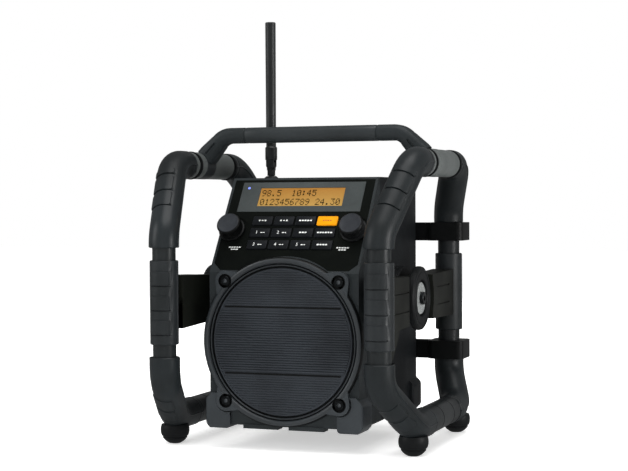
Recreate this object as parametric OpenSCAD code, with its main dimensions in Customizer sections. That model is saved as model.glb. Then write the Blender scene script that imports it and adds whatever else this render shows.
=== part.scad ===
// Jobsite radio hung in a roll cage, in millimetres.
// X runs to the right, Y to the back and Z up. The origin is on the ground, under the middle of the cage,
// straight below the hub axis that the case hangs on.

/* [Speaker] */
// Radius of the grille that shows inside the ring
grille_r = 78; // [64:0.5:95]
// Width of the ring outside the grille
ring_border = 12.5; // [11:0.5:16]
// How far the ring stands in front of the case
ring_proud = 6.5; // [5:0.5:10]
// How far the ring overhangs each side of the case
ring_overhang = 5.5; // [2:0.5:6]
// How far the ring rises over the foot of the control panel
ring_over_panel = 17; // [8:0.5:19]
// Radius of the ring's four screw ears
ear_r = 12.5; // [10:0.5:15]
// Radius of the magnet
magnet_r = 42; // [34:0.5:50]
// Depth of the driver from its flange to the back of its magnet
driver_depth = 55; // [46:1:66]
// How far the cone moves each way
cone_travel = 2; // [1:0.1:3]

/* [Case] */
// Distance from the hub axis forward to the front of the case
case_front = 97; // [88:1:120]
// Distance from the hub axis back to the rear face of the case
case_rear = 118; // [98:1:145]
// Thickness of the case's walls
case_wall = 3; // [2.5:0.1:3.6]
// Height of the case's floor above the ground
case_lift = 27; // [24:1:36]
// How far the corner bumpers stand out
bumper_out = 5; // [3:0.5:8]
// Height of the corner bumpers
bumper_h = 34; // [26:1:44]

/* [Control panel] */
// Angle that the panel leans back from upright
panel_tilt = 34.8; // [28:0.1:42]
// Thickness of the fascia plate
fascia_t = 2.5; // [2:0.1:3]
// Width of the case's rim round the fascia
fascia_rim = 3; // [2.5:0.1:5]
// Height of the display window, along the slope
window_h = 39.3; // [33:0.1:48]
// Distance from the side of the case in to the display window
window_inset = 13.3; // [8:0.1:18]
// Width of the lit display
lcd_w = 99; // [80:0.5:120]
// Height of the lit display
lcd_h = 24.3; // [18:0.1:30]
// Distance from the panel's foot up to the keypad, along the slope
keypad_foot = 27.4; // [25:0.1:36]
// Distance between rows of keys, along the slope
key_pitch_v = 15.5; // [12.9:0.1:19]
// Gap between rows of keys
key_gap_v = 4; // [2.6:0.1:5]
// Gap between neighbouring keys in a row
key_gap_x = 2; // [1.8:0.1:3]
// How far a key stands out of the fascia
key_proud = 1.6; // [1.2:0.1:2.5]
// How far a key travels
key_travel = 1; // [0.6:0.1:1.2]
// Radius of a knob
knob_r = 13.3; // [11:0.1:16]
// Height of a knob's face above the fascia
knob_h = 17; // [13:0.1:21]
// Radius of the sunk disc in the fascia under a knob
knob_bezel_r = 18; // [16:0.1:20]
// Distance from the side of the case in to a knob's axis
knob_inset = 14.8; // [13:0.1:20]
// How far a knob pushes in
knob_travel = 0.8; // [0.4:0.1:1.2]
// Radius of a knob's shaft
shaft_r = 3; // [2.5:0.1:4]

/* [Cage] */
// Distance from the side of the case out to the uprights' centrelines
side_gap = 35; // [30:1:44]
// Distance from the front of the case forward to the front uprights' centrelines
front_guard = 40; // [32:1:50]
// Distance from the rear face of the case back to the rear uprights' centrelines
rear_guard = 14.5; // [14:0.5:22]
// How far the corners stand out beyond the uprights
corner_splay = 17.5; // [8:0.5:24]
// How far the front corners lie behind the front uprights
front_slant_run = 61; // [50:1:74]
// How far the rear corners lie in front of the rear uprights
rear_slant_run = 34.5; // [28:0.5:44]
// Height of the front slant below the top rail
front_slant_top = 76; // [62:1:86]
// Height of the front slant above the bottom rail
front_slant_bottom = 47; // [40:1:56]
// Height of the rear slant below the top rail
rear_slant_top = 50; // [44:1:60]
// Height of the rear slant above the bottom rail
rear_slant_bottom = 36; // [32:1:44]
// Height of the top rail's centreline above the top of the case
rail_over_case = 15; // [12:1:30]
// Height of the bottom rail's centreline above the ground
rail_lift = 30; // [28:1:38]
// Radius of the bare tube
tube_r = 12.5; // [10.5:0.1:14]
// Wall of the rubber elbow sleeves
elbow_wall = 4; // [3:0.1:5]
// Wall of the rubber grips
grip_wall = 3; // [2.2:0.1:3.8]
// Height of the raised pads on the front grips
pad_proud = 0.8; // [0.4:0.1:1.2]
// Bend radius of the cage's corners
corner_bend = 35; // [28:1:42]
// Bend radius where the slants meet the uprights
upright_bend = 30; // [26:1:36]
// Length of bare tube between an elbow sleeve and a grip
neck = 13.5; // [8:0.5:16]
// Radius of the feet
foot_r = 16; // [13:0.5:18]

/* [Handle] */
// Height of the handle's centreline above the top rails
handle_rise = 33.7; // [30:0.1:45]
// Thickness of the handle
handle_t = 16; // [13.4:0.1:19]
// Depth of the handle from front to back
handle_d = 24; // [20:0.1:28]
// Length of the handle's grip
handle_grip_w = 156; // [130:1:186]
// How far the handle lies in front of the hub axis
handle_ahead = 4; // [0:0.5:6]

/* [Hub] */
// Radius of the rubber bushes
bush_r = 35; // [29:0.5:40]
// Thickness of the inner bushes
inner_bush_t = 11; // [9:0.5:13]
// Thickness of the outer bushes
outer_bush_t = 8; // [7:0.5:10]
// Length of the bosses on the case
boss_len = 10; // [8:0.5:12]
// Thickness of a side arm at the hub
arm_t = 12; // [10:0.5:14]
// Height of a side arm at the hub
arm_h = 48; // [40:1:56]
// Radius of the hub screws
hub_screw_r = 4; // [3:0.1:5]

/* [Antenna] */
// Distance from the middle of the case to the antenna, to the left
antenna_left = 63; // [50:1:70]
// Distance from the hub axis back to the antenna
antenna_back = 30; // [26:1:60]
// Height of the antenna's tilt pin above the top of the case
antenna_pin_h = 15.5; // [13:0.5:20]
// Length of the antenna above its tilt pin
antenna_len = 164; // [130:1:200]
// Radius of the antenna rod at its foot
antenna_r = 5.7; // [4.6:0.1:6.2]

/* [Power] */
// Radius of a battery cell
cell_r = 16.5; // [13.8:0.1:17]
// Height of a battery cell
cell_h = 61; // [50:0.5:62]
// Thickness of the battery door
door_t = 4; // [3:0.1:5]
// Radius of the audio jack's bore
aux_r = 1.8; // [1.5:0.05:2.2]
// Depth of the audio jack's bore
aux_depth = 12; // [10:0.5:13]
// Radius of the power inlet's bore
dc_r = 2.8; // [2.4:0.05:3.4]

/* [Hidden] */
$fn = 48;

// Clearances
bond = 0.1;       // round a sleeve that is fixed in place
run = 0.05;       // round a pin or shaft that turns or slides
slip = 0.3;       // beside a piece that moves past another
eps = 0.01;       // by which a cutter clears the face that it opens
lap = 0.5;        // by which a straight runs into a bend
swell = 0.25;     // by which a bend is thicker than the straights that run into it
sleeve_ease = 1;  // by which a sleeve's bends are wider than the tube's inside them

// Case
ring_r = grille_r + ring_border;
case_w = 2 * (ring_r - ring_overhang);
case_side = case_w / 2;
ring_z = case_lift + ring_r;
foot_z = case_lift + 2 * ring_r - ring_over_panel;

// Keypad and panel, in distances along the slope
key_rows = 3;
key_columns = 4;
key_count = key_rows * key_columns;
knob_x = case_side - knob_inset;
keypad_margin = 2.2;
key_pitch_x = 2 * (knob_x - knob_bezel_r - keypad_margin) / key_columns;
key_w = key_pitch_x - key_gap_x;
key_h = key_pitch_v - key_gap_v;
keypad_top = keypad_foot + key_rows * key_pitch_v;
knob_v = keypad_foot + 1.65 * key_pitch_v;
window_v = keypad_top + 5;
window_top = window_v + window_h;
window_w = case_w - 2 * window_inset;
lcd_v = window_v + window_h / 2;
panel_len = window_top + 6;
panel_rise = panel_len * cos(panel_tilt);
panel_run = panel_len * sin(panel_tilt);
case_top = foot_z + panel_rise;
panel_top_y = panel_run - case_front;
split_y = round(panel_top_y) + 4;

// Fascia and what sits behind it, in distances out from the fascia's face
fascia_side = case_side - fascia_rim;
fascia_v = 3;
fascia_top = panel_len - 3;
fascia_cut = 8.5;
panel_hole = fascia_side - 4;
window_t = 1.6;
window_lap = 2.5;
key_under = -fascia_t - slip;
key_flange_t = 1.2;
key_flange = 0.5;
key_stem = 3.6;
key_foot = key_under - key_flange_t - key_stem;
mat_top = key_foot - key_travel - slip;
mat_dome = 0.5;
mat_t = 1.5;
board_face = mat_top - mat_dome - mat_t;
board_t = 1.6;
shaft_foot = board_face + 1.2 + knob_travel;
encoder_h = 5;
bushing_r = shaft_r + 1.5;
knob_under = knob_travel + 0.7;

// Speaker ring and driver
ear_place = ring_r + 0.7;
ear_step = ear_place * sqrt(2) / 2;
collar_r = ring_r - 1;
collar_depth = ring_over_panel * tan(panel_tilt) + fascia_t / cos(panel_tilt) + 1.5;
speaker_bore = grille_r + 1;
groove_r = grille_r + 6;
grille_t = 2;
grille_face = ring_proud - 2.5;
ring_lip = 1.5;
rib_rise = 35.7;
flange_r = case_side - case_wall - 1;
flange_t = 3;
flange_in = flange_r - 11;
coil_r = 12.3;
coil_wall = 0.9;
driver_y = collar_depth - case_front;
screw_r = 2.2;
screw_head_r = 5.2;

// Cage, right-hand side
upright_x = case_side + side_gap;
corner_x = upright_x + corner_splay;
front_y = -case_front - front_guard;
rear_y = case_rear + rear_guard;
front_corner_y = front_y + front_slant_run;
rear_corner_y = rear_y - rear_slant_run;
top_z = case_top + rail_over_case;
front_bend_top = top_z - front_slant_top;
front_bend_bottom = rail_lift + front_slant_bottom;
rear_bend_top = top_z - rear_slant_top;
rear_bend_bottom = rail_lift + rear_slant_bottom;
elbow_r = tube_r + elbow_wall;
grip_r = tube_r + grip_wall;
front_cuff_top = 13.6;
front_cuff_bottom = 25;
rear_cuff_top = 17;
rear_cuff_bottom = 16;
top_sleeve_front = 58;
bottom_sleeve_front = 42;
top_sleeve_rear = 24;
bottom_sleeve_rear = 36;
grip_top = front_bend_top - front_cuff_top - neck;
grip_bottom = front_bend_bottom + front_cuff_bottom + neck;
grip_h = grip_top - grip_bottom;
hub_z = (grip_top + grip_bottom) / 2;

top_front = [corner_x, front_corner_y, top_z];
top_rear = [corner_x, rear_corner_y, top_z];
bottom_front = [corner_x, front_corner_y, rail_lift];
bottom_rear = [corner_x, rear_corner_y, rail_lift];
front_upper = [upright_x, front_y, front_bend_top];
front_lower = [upright_x, front_y, front_bend_bottom];
rear_upper = [upright_x, rear_y, rear_bend_top];
rear_lower = [upright_x, rear_y, rear_bend_bottom];

// Feet, handle, hub and brackets
foot_h = rail_lift - 9;
foot_centre = foot_r - 1;
handle_z = top_z + handle_rise;
handle_bend = 20;
handle_corner_x = corner_x - handle_rise * 0.95;
handle_clamp_w = 24;
handle_core = 2.5;
boss_r = 18;
boss_face = case_side + boss_len;
arm_inner = boss_face + inner_bush_t;
arm_outer = arm_inner + arm_t;
hub_face = arm_outer + outer_bush_t;
arm_end_h = 57;
arm_block_in = 16;
arm_block_out = 9;
arm_reach = 11.5;
arm_block_front = 66;
arm_block_rear = 90;
washer_r = 17.5;
washer_t = 1.5;
cup_r = 20;
cup_depth = 3;
hub_head_r = 7;
hub_head_t = 4;
bracket_h = 21;
bracket_wall = 8.75;
bracket_half = tube_r + bracket_wall;
bracket_foot_t = 14;
bracket_foot_in = case_side - 17;
upper_bracket_z = rear_bend_top - rear_cuff_top - bracket_h;
lower_bracket_z = rear_bend_bottom + rear_cuff_bottom;
bolt_x = case_side - 9;
bolt_low = case_lift + 9;
bolt_high = case_top - 9;
bolt_boss_r = 7;

// Battery bay, door and jacks
cell_columns = 3;
cell_rows = 2;
cell_gap = 1.2;
bay_wall = 2;
bay_side = cell_columns * (cell_r + cell_gap / 2) + 0.2;
bay_low = case_lift + 13;
bay_high = bay_low + cell_rows * (cell_h + 0.6) + 0.8;
bay_y = case_rear - 2 * cell_r - 5;
door_over = 5;
door_left = -bay_side - 4.5;
door_right = bay_side + 10.5;
door_y = case_rear + slip;
hinge_r = 3.2;
hinge_pin_r = 1.5;
hinge_x = door_left - hinge_r - 0.6;
hinge_y = case_rear + hinge_r + 0.5;
hinge_lug = 14;
hinge_low = bay_low + 8;
hinge_high = bay_high - 8;
door_screw_x = bay_side + 6.2;
door_screw_z = (bay_low + bay_high) / 2;
door_knob_r = 8;
door_shank_r = 2.4;
main_board_y = case_rear - 18;
jack_z = case_top - 68;
aux_x = -20;
dc_x = 4;
nose_r = 4;
dc_nose_r = 5.5;
cover_left = aux_x - 13;
cover_right = dc_x + 15;
cover_half = 11;
cover_t = 3;
cover_hinge_z = jack_z + cover_half + 3.4;
cover_hinge_y = case_rear + 2.6;
cover_hinge_r = 2.1;
cover_pin_r = 1;
cover_lug = 4;

// Antenna
antenna_x = -antenna_left;
pin_z = case_top + antenna_pin_h;
socket_r = 8;
stem_r = 3;
knuckle_r = antenna_r + 1.2;
tongue_r = 4.5;
tongue_t = 5;
ear_t = 2.4;
tilt_pin_r = 1.4;

KEYS = ["key_tune_down", "key_tune_up", "key_source", "key_power",
        "key_preset_1", "key_preset_2", "key_info", "key_display",
        "key_preset_3", "key_preset_4", "key_preset_5", "key_menu"];

// ---------------------------------------------------------------- helpers

function unit(v) = v / norm(v);

// Length of straight that a bend of radius r takes up on each side of corner b
function bend_reach(a, b, c, r) = r * tan(acos(unit(b - a) * unit(c - b)) / 2);

function frame_matrix(x, y, z, origin) =
    [[x[0], y[0], z[0], origin[0]],
     [x[1], y[1], z[1], origin[1]],
     [x[2], y[2], z[2], origin[2]],
     [0, 0, 0, 1]];

// Points of a rectangle with round corners, w by h about the origin
function round_rect(w, h, r, steps = 6) =
    [for (q = [0:3], s = [0:steps])
        let (a = 90 * q + 90 * s / steps,
             cx = (q == 0 || q == 3 ? 1 : -1) * (w / 2 - r),
             cy = (q < 2 ? 1 : -1) * (h / 2 - r))
        [cx + r * cos(a), cy + r * sin(a)]];

module both_sides() {
    children();
    mirror([1, 0, 0]) children();
}

module ring_section(r_out, r_in) {
    difference() {
        circle(r_out);
        if (r_in > 0) circle(r_in);
    }
}

module pipe_straight(p, q, tube) {
    d = unit(q - p);
    // Turned off square, so that this seam keeps clear of the bends' own
    x = unit(cross(abs(d[2]) < 0.9 ? [0.3, 0.1, 1] : [1, 0.3, 0], d));
    multmatrix(frame_matrix(x, cross(d, x), d, p)) cylinder(h = norm(q - p), r = tube);
}

module pipe_bend(a, b, c, r, tube) {
    d1 = unit(b - a);
    d2 = unit(c - b);
    inward = unit(d2 - (d1 * d2) * d1);
    centre = b - bend_reach(a, b, c, r) * d1 + r * inward;
    multmatrix(frame_matrix(-inward, d1, cross(-inward, d1), centre))
        rotate_extrude(angle = acos(d1 * d2)) translate([r, 0]) circle(tube + swell);
}

// Solid bar of radius tube through the points, bent with each one's radius in bends, where 0 is a plain end
module pipe(points, bends, tube, closed = false) {
    n = len(points);
    reach = [for (i = [0:n - 1]) bends[i] == 0 ? 0
        : bend_reach(points[(i + n - 1) % n], points[i], points[(i + 1) % n], bends[i]) - lap];
    union() {
        for (i = [0:closed ? n - 1 : n - 2]) {
            j = (i + 1) % n;
            d = unit(points[j] - points[i]);
            pipe_straight(points[i] + reach[i] * d, points[j] - reach[j] * d, tube);
        }
        for (i = [0:n - 1]) if (bends[i] > 0)
            pipe_bend(points[(i + n - 1) % n], points[i], points[(i + 1) % n], bends[i], tube);
    }
}

// Block between two corners
module block(low, high) {
    translate(low) cube(high - low);
}

// Cylinder along Y from y0 to y1
module rod_y(r, y0, y1, x = 0, z = 0) {
    translate([x, y0, z]) rotate([-90, 0, 0]) cylinder(h = y1 - y0, r = r);
}

// Cylinder along X from x0 to x1
module rod_x(r, x0, x1, y = 0, z = 0) {
    translate([x0, y, z]) rotate([0, 90, 0]) cylinder(h = x1 - x0, r = r);
}

// Turns a drawing in Y and Z into a slab along X
module along_x(x0, x1) {
    translate([x0, 0, 0]) rotate([90, 0, 90]) linear_extrude(x1 - x0) children();
}

// Turned shape about the speaker's axis: x is the radius and y the distance forward of the case
module turned_on_speaker() {
    translate([0, -case_front, ring_z]) rotate([90, 0, 0]) rotate_extrude() children();
}

// Puts children on the control panel: x across, y up the slope and z out of the fascia's face
module on_panel() {
    translate([0, -case_front, foot_z]) rotate([90 - panel_tilt, 0, 0]) children();
}

module at_ears() {
    for (sx = [-1, 1], sz = [-1, 1]) translate([sx * ear_step, 0, ring_z + sz * ear_step]) children();
}

function key_x(i) = (i % key_columns - (key_columns - 1) / 2) * key_pitch_x;
function key_v(i) = keypad_top - (floor(i / key_columns) + 0.5) * key_pitch_v;

// ---------------------------------------------------------------- case

module case_outer() {
    along_x(-case_side, case_side) polygon([
        [-case_front, case_lift], [-case_front, foot_z], [panel_top_y, case_top],
        [case_rear, case_top], [case_rear, case_lift]]);
}

module case_inner() {
    skin = fascia_t + case_wall;
    t = panel_tilt;
    foot_rise = (case_wall * cos(t) - skin) / sin(t);
    top_run = ((panel_rise - case_wall) * sin(t) + skin) / cos(t);
    along_x(-case_side + case_wall, case_side - case_wall) polygon([
        [case_wall - case_front, case_lift + case_wall], [case_wall - case_front, foot_z + foot_rise],
        [top_run - case_front, case_top - case_wall],
        [case_rear - case_wall, case_top - case_wall], [case_rear - case_wall, case_lift + case_wall]]);
}

module fascia_outline(grow) {
    s = fascia_side + grow;
    low = fascia_v - grow;
    polygon([[s, low + fascia_cut], [s - fascia_cut, low], [fascia_cut - s, low], [-s, low + fascia_cut],
             [-s, fascia_top + grow], [s, fascia_top + grow]]);
}

module bumper(y0, y1, x_in) {
    low = case_lift - 4;
    high = case_lift + bumper_h;
    out = case_side + bumper_out;
    difference() {
        block([x_in, y0, low], [out, y1, high]);
        translate([out, 0, high]) rotate([0, 45, 0]) cube([11, 4 * case_rear, 11], center = true);
        translate([out, 0, low]) rotate([0, 45, 0]) cube([8, 4 * case_rear, 8], center = true);
    }
}

module front_shell() color("#3a3d40") {
    bolt_boss = 6;
    difference() {
        union() {
            intersection() {
                case_outer();
                block([-2 * case_side, -2 * case_front, 0], [2 * case_side, split_y, 2 * case_top]);
            }
            rod_y(collar_r, -case_front, driver_y, 0, ring_z);
            both_sides() difference() {
                union() {
                    bumper(-case_front - 3, -case_front + 30, case_side - 24);
                    block([6, -case_front - 1.5, case_lift - 3.5], [46, -case_front + 12, case_lift + 1]);
                }
                rod_y(ring_r + slip, -2 * case_front, -case_front, 0, ring_z);
                at_ears() rod_y(ear_r + slip, -2 * case_front, -case_front);
            }
        }
        difference() {
            case_inner();
            difference() {
                rod_y(collar_r, -case_front, driver_y, 0, ring_z);
                rod_y(speaker_bore, -2 * case_front, 0, 0, ring_z);
            }
            at_ears() rod_y(5, -case_front, -case_front + 12);
            both_sides() for (z = [bolt_low, bolt_high])
                rod_y(bolt_boss_r, split_y - bolt_boss, split_y + 1, bolt_x, z);
        }
        rod_y(speaker_bore, -2 * case_front, driver_y + eps, 0, ring_z);
        at_ears() rod_y(screw_r + run, -2 * case_front, -case_front + 10);
        both_sides() for (z = [bolt_low, bolt_high])
            rod_y(screw_r + run, split_y - bolt_boss + 1, split_y + 1, bolt_x, z);
        difference() {
            on_panel() translate([0, 0, -fascia_t]) linear_extrude(4 * collar_depth) fascia_outline(bond);
            rod_y(ring_r + slip - bond, -2 * case_front, driver_y + 4, 0, ring_z);
        }
        on_panel() translate([-panel_hole, keypad_foot - 3, -4 * case_wall])
            cube([2 * panel_hole, window_top + 2 - keypad_foot, 4 * case_wall]);
    }
}

module rear_shell() color("#34373a") {
    difference() {
        union() {
            difference() {
                intersection() {
                    case_outer();
                    block([-2 * case_side, split_y, 0], [2 * case_side, 2 * case_rear, 2 * case_top]);
                }
                case_inner();
            }
            both_sides() {
                rod_x(boss_r, case_side - 8, boss_face, 0, hub_z);
                bumper(case_rear - 32, case_rear + 2, case_side - 3);
                for (z = [bolt_low, bolt_high]) rod_y(bolt_boss_r, case_rear - 12, case_rear, bolt_x, z);
                for (z = [upper_bracket_z, lower_bracket_z])
                    rod_y(5, case_rear - 14, case_rear, bracket_foot_in + 6, z + bracket_h / 2);
            }
            block([-bay_side - bay_wall, bay_y - bay_wall, bay_low - bay_wall],
                  [bay_side + bay_wall, case_rear, bay_high + bay_wall]);
            rod_y(5, case_rear - 12, case_rear, door_screw_x, door_screw_z);
            hinge_lugs();
            cover_lugs();
            for (sx = [-1, 1], dz = [-34, 34])
                rod_y(3, main_board_y + board_t, case_rear, sx * 50, jack_z + 2 + dz);
        }
        block([-bay_side, bay_y, bay_low], [bay_side, case_rear + 1, bay_high]);
        both_sides() {
            rod_x(hub_screw_r + run, case_side - 12, boss_face + 1, 0, hub_z);
            for (z = [bolt_low, bolt_high]) rod_y(screw_r + slip, case_rear - 20, case_rear + 1, bolt_x, z);
            for (z = [upper_bracket_z, lower_bracket_z])
                rod_y(screw_r + run, case_rear - 12, case_rear + 1, bracket_foot_in + 6, z + bracket_h / 2);
        }
        rod_y(door_shank_r + 0.7, case_rear - 9, case_rear + 1, door_screw_x, door_screw_z);
        rod_y(nose_r + slip, case_rear - 5, case_rear + 1, aux_x, jack_z);
        rod_y(dc_nose_r + slip, case_rear - 5, case_rear + 1, dc_x, jack_z);
        translate([antenna_x, antenna_back, case_top - 5]) cylinder(h = 6, r = stem_r + 2.1);
    }
}

module hinge_lugs() {
    for (z = [hinge_low, hinge_high - hinge_lug]) {
        translate([hinge_x, hinge_y, z]) cylinder(h = hinge_lug, r = hinge_r);
        block([hinge_x - hinge_r, case_rear - 1, z], [hinge_x + hinge_r - 0.6, hinge_y, z + hinge_lug]);
    }
    translate([hinge_x, hinge_y, hinge_low]) cylinder(h = hinge_high - hinge_low, r = hinge_pin_r);
}

module cover_lugs() {
    for (x = [cover_left, cover_right - cover_lug]) {
        rod_x(cover_hinge_r, x, x + cover_lug, cover_hinge_y, cover_hinge_z);
        block([x, case_rear - 1, cover_hinge_z - cover_hinge_r + 0.3],
              [x + cover_lug, cover_hinge_y, cover_hinge_z + cover_hinge_r]);
    }
    rod_x(cover_pin_r, cover_left, cover_right, cover_hinge_y, cover_hinge_z);
}

// A bolt along Y with its head at the back
module bolt_y(head_y, length, head_r, head_t) {
    rod_y(head_r, head_y, head_y + head_t);
    rod_y(screw_r, head_y - length, head_y + eps);
}

module case_bolts() color("#232527")
    both_sides() for (z = [bolt_low, bolt_high])
        translate([bolt_x, 0, z]) bolt_y(case_rear, case_rear - split_y + 4, screw_head_r - 0.6, 2.4);

// ---------------------------------------------------------------- control panel

module control_fascia() color("#141611") {
    post_r = 3;
    difference() {
        on_panel() {
            difference() {
                translate([0, 0, -fascia_t]) linear_extrude(fascia_t) fascia_outline(0);
                for (i = [0:key_count - 1])
                    translate([key_x(i), key_v(i), -fascia_t - 1])
                        linear_extrude(fascia_t + 2)
                            square([key_w + 2 * slip, key_h + 2 * slip], center = true);
                translate([-window_w / 2 - bond, window_v - bond, -window_t])
                    cube([window_w + 2 * bond, window_h + 2 * bond, 2 * window_t]);
                translate([-window_w / 2 + window_lap, window_v + window_lap, -fascia_t - 1])
                    cube([window_w - 2 * window_lap, window_h - 2 * window_lap, fascia_t + 2]);
                for (sx = [-1, 1]) translate([sx * knob_x, knob_v, 0]) {
                    translate([0, 0, -0.8]) cylinder(h = 2, r = knob_bezel_r);
                    translate([0, 0, -fascia_t - 1]) cylinder(h = fascia_t + 2, r = bushing_r + slip);
                }
            }
            for (sx = [-1, 1], v = [keypad_foot + 2, window_v + 7])
                translate([sx * (fascia_side - 8), v, board_face])
                    cylinder(h = -board_face - fascia_t + eps, r = post_r);
        }
        rod_y(ring_r + slip, -2 * case_front, driver_y + 4, 0, ring_z);
    }
}

module display_window() color("#4d5250")
    on_panel() difference() {
        translate([-window_w / 2, window_v, -window_t]) cube([window_w, window_h, window_t]);
        translate([-lcd_w / 2, lcd_v - lcd_h / 2, -window_t - 1]) cube([lcd_w, lcd_h, window_t + 2]);
    }

module lcd_module() color("#dd9a3c")
    on_panel() {
        body_w = lcd_w + 12;
        body_h = lcd_h + 9;
        nose = 0.2;
        translate([-body_w / 2, lcd_v - body_h / 2, board_face])
            cube([body_w, body_h, -board_face - fascia_t - 1]);
        translate([-lcd_w / 2 + nose, lcd_v - lcd_h / 2 + nose, -fascia_t - 1 - eps])
            cube([lcd_w - 2 * nose, lcd_h - 2 * nose, fascia_t + 1 - 0.5]);
    }

module control_board() color("#1d5a34")
    on_panel() {
        low = keypad_foot - 1;
        encoder_w = 13;
        difference() {
            union() {
                translate([-fascia_side + 5, low, board_face - board_t])
                    cube([2 * (fascia_side - 5), window_v + 12 - low, board_t]);
                translate([-lcd_w / 2 - 12, low, board_face - board_t])
                    cube([lcd_w + 24, window_top - 3 - low, board_t]);
                for (sx = [-1, 1]) translate([sx * knob_x, knob_v, board_face]) {
                    translate([-encoder_w / 2, -encoder_w / 2, -eps]) cube([encoder_w, encoder_w, encoder_h]);
                    cylinder(h = 1 - board_face, r = bushing_r);
                }
            }
            for (sx = [-1, 1]) translate([sx * knob_x, knob_v, board_face + 0.8])
                cylinder(h = 40, r = shaft_r + run);
        }
    }

module keypad_mat() color("#5d6064")
    on_panel() {
        margin = 3;
        w = key_columns * key_pitch_x - margin;
        h = key_rows * key_pitch_v - margin;
        translate([-w / 2, (keypad_foot + keypad_top - h) / 2, board_face]) cube([w, h, mat_t]);
        for (i = [0:key_count - 1])
            translate([key_x(i), key_v(i), board_face + mat_t - eps]) cylinder(h = mat_dome + eps, r = 3);
    }

module key(i) color(KEYS[i] == "key_power" ? "#f7ab2a" : "#2b2c2e")
    on_panel() translate([key_x(i), key_v(i), 0]) {
        translate([0, 0, key_under - eps])
            linear_extrude(key_proud - key_under + eps) polygon(round_rect(key_w, key_h, 1.2, 3));
        translate([-key_w / 2 - key_flange, -key_h / 2 - key_flange, key_under - key_flange_t])
            cube([key_w + 2 * key_flange, key_h + 2 * key_flange, key_flange_t]);
        translate([-4, -2.5, key_foot]) cube([8, 5, key_stem + eps]);
    }

module shaft(side) color("#b8babd")
    on_panel() translate([side * knob_x, knob_v, shaft_foot])
        cylinder(h = knob_h - 3 - shaft_foot, r = shaft_r);

module knob(side) color("#303336")
    on_panel() translate([side * knob_x, knob_v, 0]) difference() {
        union() {
            translate([0, 0, knob_under]) cylinder(h = 3, r = knob_r + 1.4);
            translate([0, 0, knob_under + 3 - eps]) cylinder(h = knob_h - knob_under - 4.5, r = knob_r);
            translate([0, 0, knob_h - 1.6]) rotate_extrude()
                polygon([[0, 0], [knob_r, 0], [knob_r - 1.5, 1.6], [0, 1.6]]);
        }
        translate([0, 0, -1]) cylinder(h = knob_under + 3.5, r = bushing_r + 0.6);
        translate([0, 0, -1]) cylinder(h = knob_h - 1.5, r = shaft_r + run);
    }

// ---------------------------------------------------------------- speaker

module speaker_ring() color("#46494c")
    difference() {
        union() {
            turned_on_speaker() polygon([
                [speaker_bore, 0], [speaker_bore, ring_lip], [groove_r - 2, ring_lip], [groove_r, ring_proud],
                [ring_r - 2.5, ring_proud], [ring_r, ring_proud - 2.5], [ring_r, 0]]);
            difference() {
                at_ears() rod_y(ear_r, -case_front - ring_proud, -case_front);
                rod_y(groove_r, -2 * case_front, 0, 0, ring_z);
            }
        }
        at_ears() {
            rod_y(screw_head_r + 2.6, -2 * case_front, -case_front - 3);
            rod_y(screw_r + slip, -2 * case_front, 0);
        }
    }

module speaker_grille() color("#3f4246")
    intersection() {
        union() {
            rod_y(speaker_bore - 0.2, -case_front - grille_face, -case_front - grille_face + grille_t,
                  0, ring_z);
            rod_y(speaker_bore - 0.2, -case_front - grille_face, driver_y, 0, ring_z);
            for (s = [-1, 1]) block([-grille_r, -case_front - grille_face - 1, ring_z + s * rib_rise - 1.6],
                                    [grille_r, -case_front, ring_z + s * rib_rise + 1.6]);
        }
        difference() {
            rod_y(speaker_bore - 0.2, -2 * case_front, 0, 0, ring_z);
            rod_y(speaker_bore - 4, -case_front - grille_face + grille_t, 0, 0, ring_z);
        }
    }

module ring_screws() color("#1f2123")
    at_ears() {
        rod_y(screw_head_r, -case_front - 6, -case_front - 3);
        rod_y(screw_r, -case_front - 3 - eps, -case_front + 9);
    }

module speaker_basket() color("#55585b")
    translate([0, driver_y, ring_z]) rotate([-90, 0, 0]) rotate_extrude() polygon([
        [flange_in, 0], [flange_r, 0], [flange_r, flange_t], [flange_in + 2, flange_t],
        [magnet_r + 4, driver_depth - 24], [coil_r + 6, driver_depth - 24], [coil_r + 6, driver_depth - 26],
        [magnet_r + 2, driver_depth - 26], [flange_in, flange_t]]);

module speaker_magnet() color("#2a2b2d")
    translate([0, driver_y + driver_depth - 24, ring_z]) rotate([-90, 0, 0]) difference() {
        cylinder(h = 24, r = magnet_r);
        translate([0, 0, -1]) linear_extrude(16) ring_section(coil_r + coil_wall + slip, coil_r - slip);
    }

module speaker_cone() color("#202224") {
    edge_r = flange_in - 1;
    throat = driver_depth - 32;
    translate([0, driver_y + 1, ring_z]) rotate([-90, 0, 0]) {
        rotate_extrude() polygon([
            [0, throat - 3], [coil_r, throat - 1.5], [edge_r - 5, 0], [edge_r, 0],
            [edge_r, 1], [edge_r - 5, 1],
            [coil_r + coil_wall, throat], [coil_r + coil_wall, throat + 17], [coil_r, throat + 17],
            [coil_r, throat], [0, throat - 1.5]]);
    }
}

// ---------------------------------------------------------------- electronics and batteries

module main_board() color("#1d5a34") {
    half = 58;
    block([-half, main_board_y, jack_z - 38], [half, main_board_y + board_t, jack_z + 42]);
    for (x = [-30, -8, 16]) rod_y(7, main_board_y - 16, main_board_y + eps, x, jack_z + 20);
    block([-45, main_board_y - 7, jack_z - 30], [-5, main_board_y + eps, jack_z - 5]);
    block([10, main_board_y - 22, jack_z - 32], [44, main_board_y + eps, jack_z - 4]);
}

module jack(x, nose, bore_r, depth, width) {
    front = main_board_y + board_t;
    difference() {
        union() {
            block([x - width / 2, front, jack_z - width / 2],
                  [x + width / 2, case_rear - case_wall - slip, jack_z + width / 2]);
            rod_y(nose, front + 1, case_rear - 0.5, x, jack_z);
        }
        rod_y(bore_r, case_rear - 0.5 - depth, case_rear + 1, x, jack_z);
    }
}

module aux_jack() color("#191a1b") jack(aux_x, nose_r, aux_r, aux_depth, 11);

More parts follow.
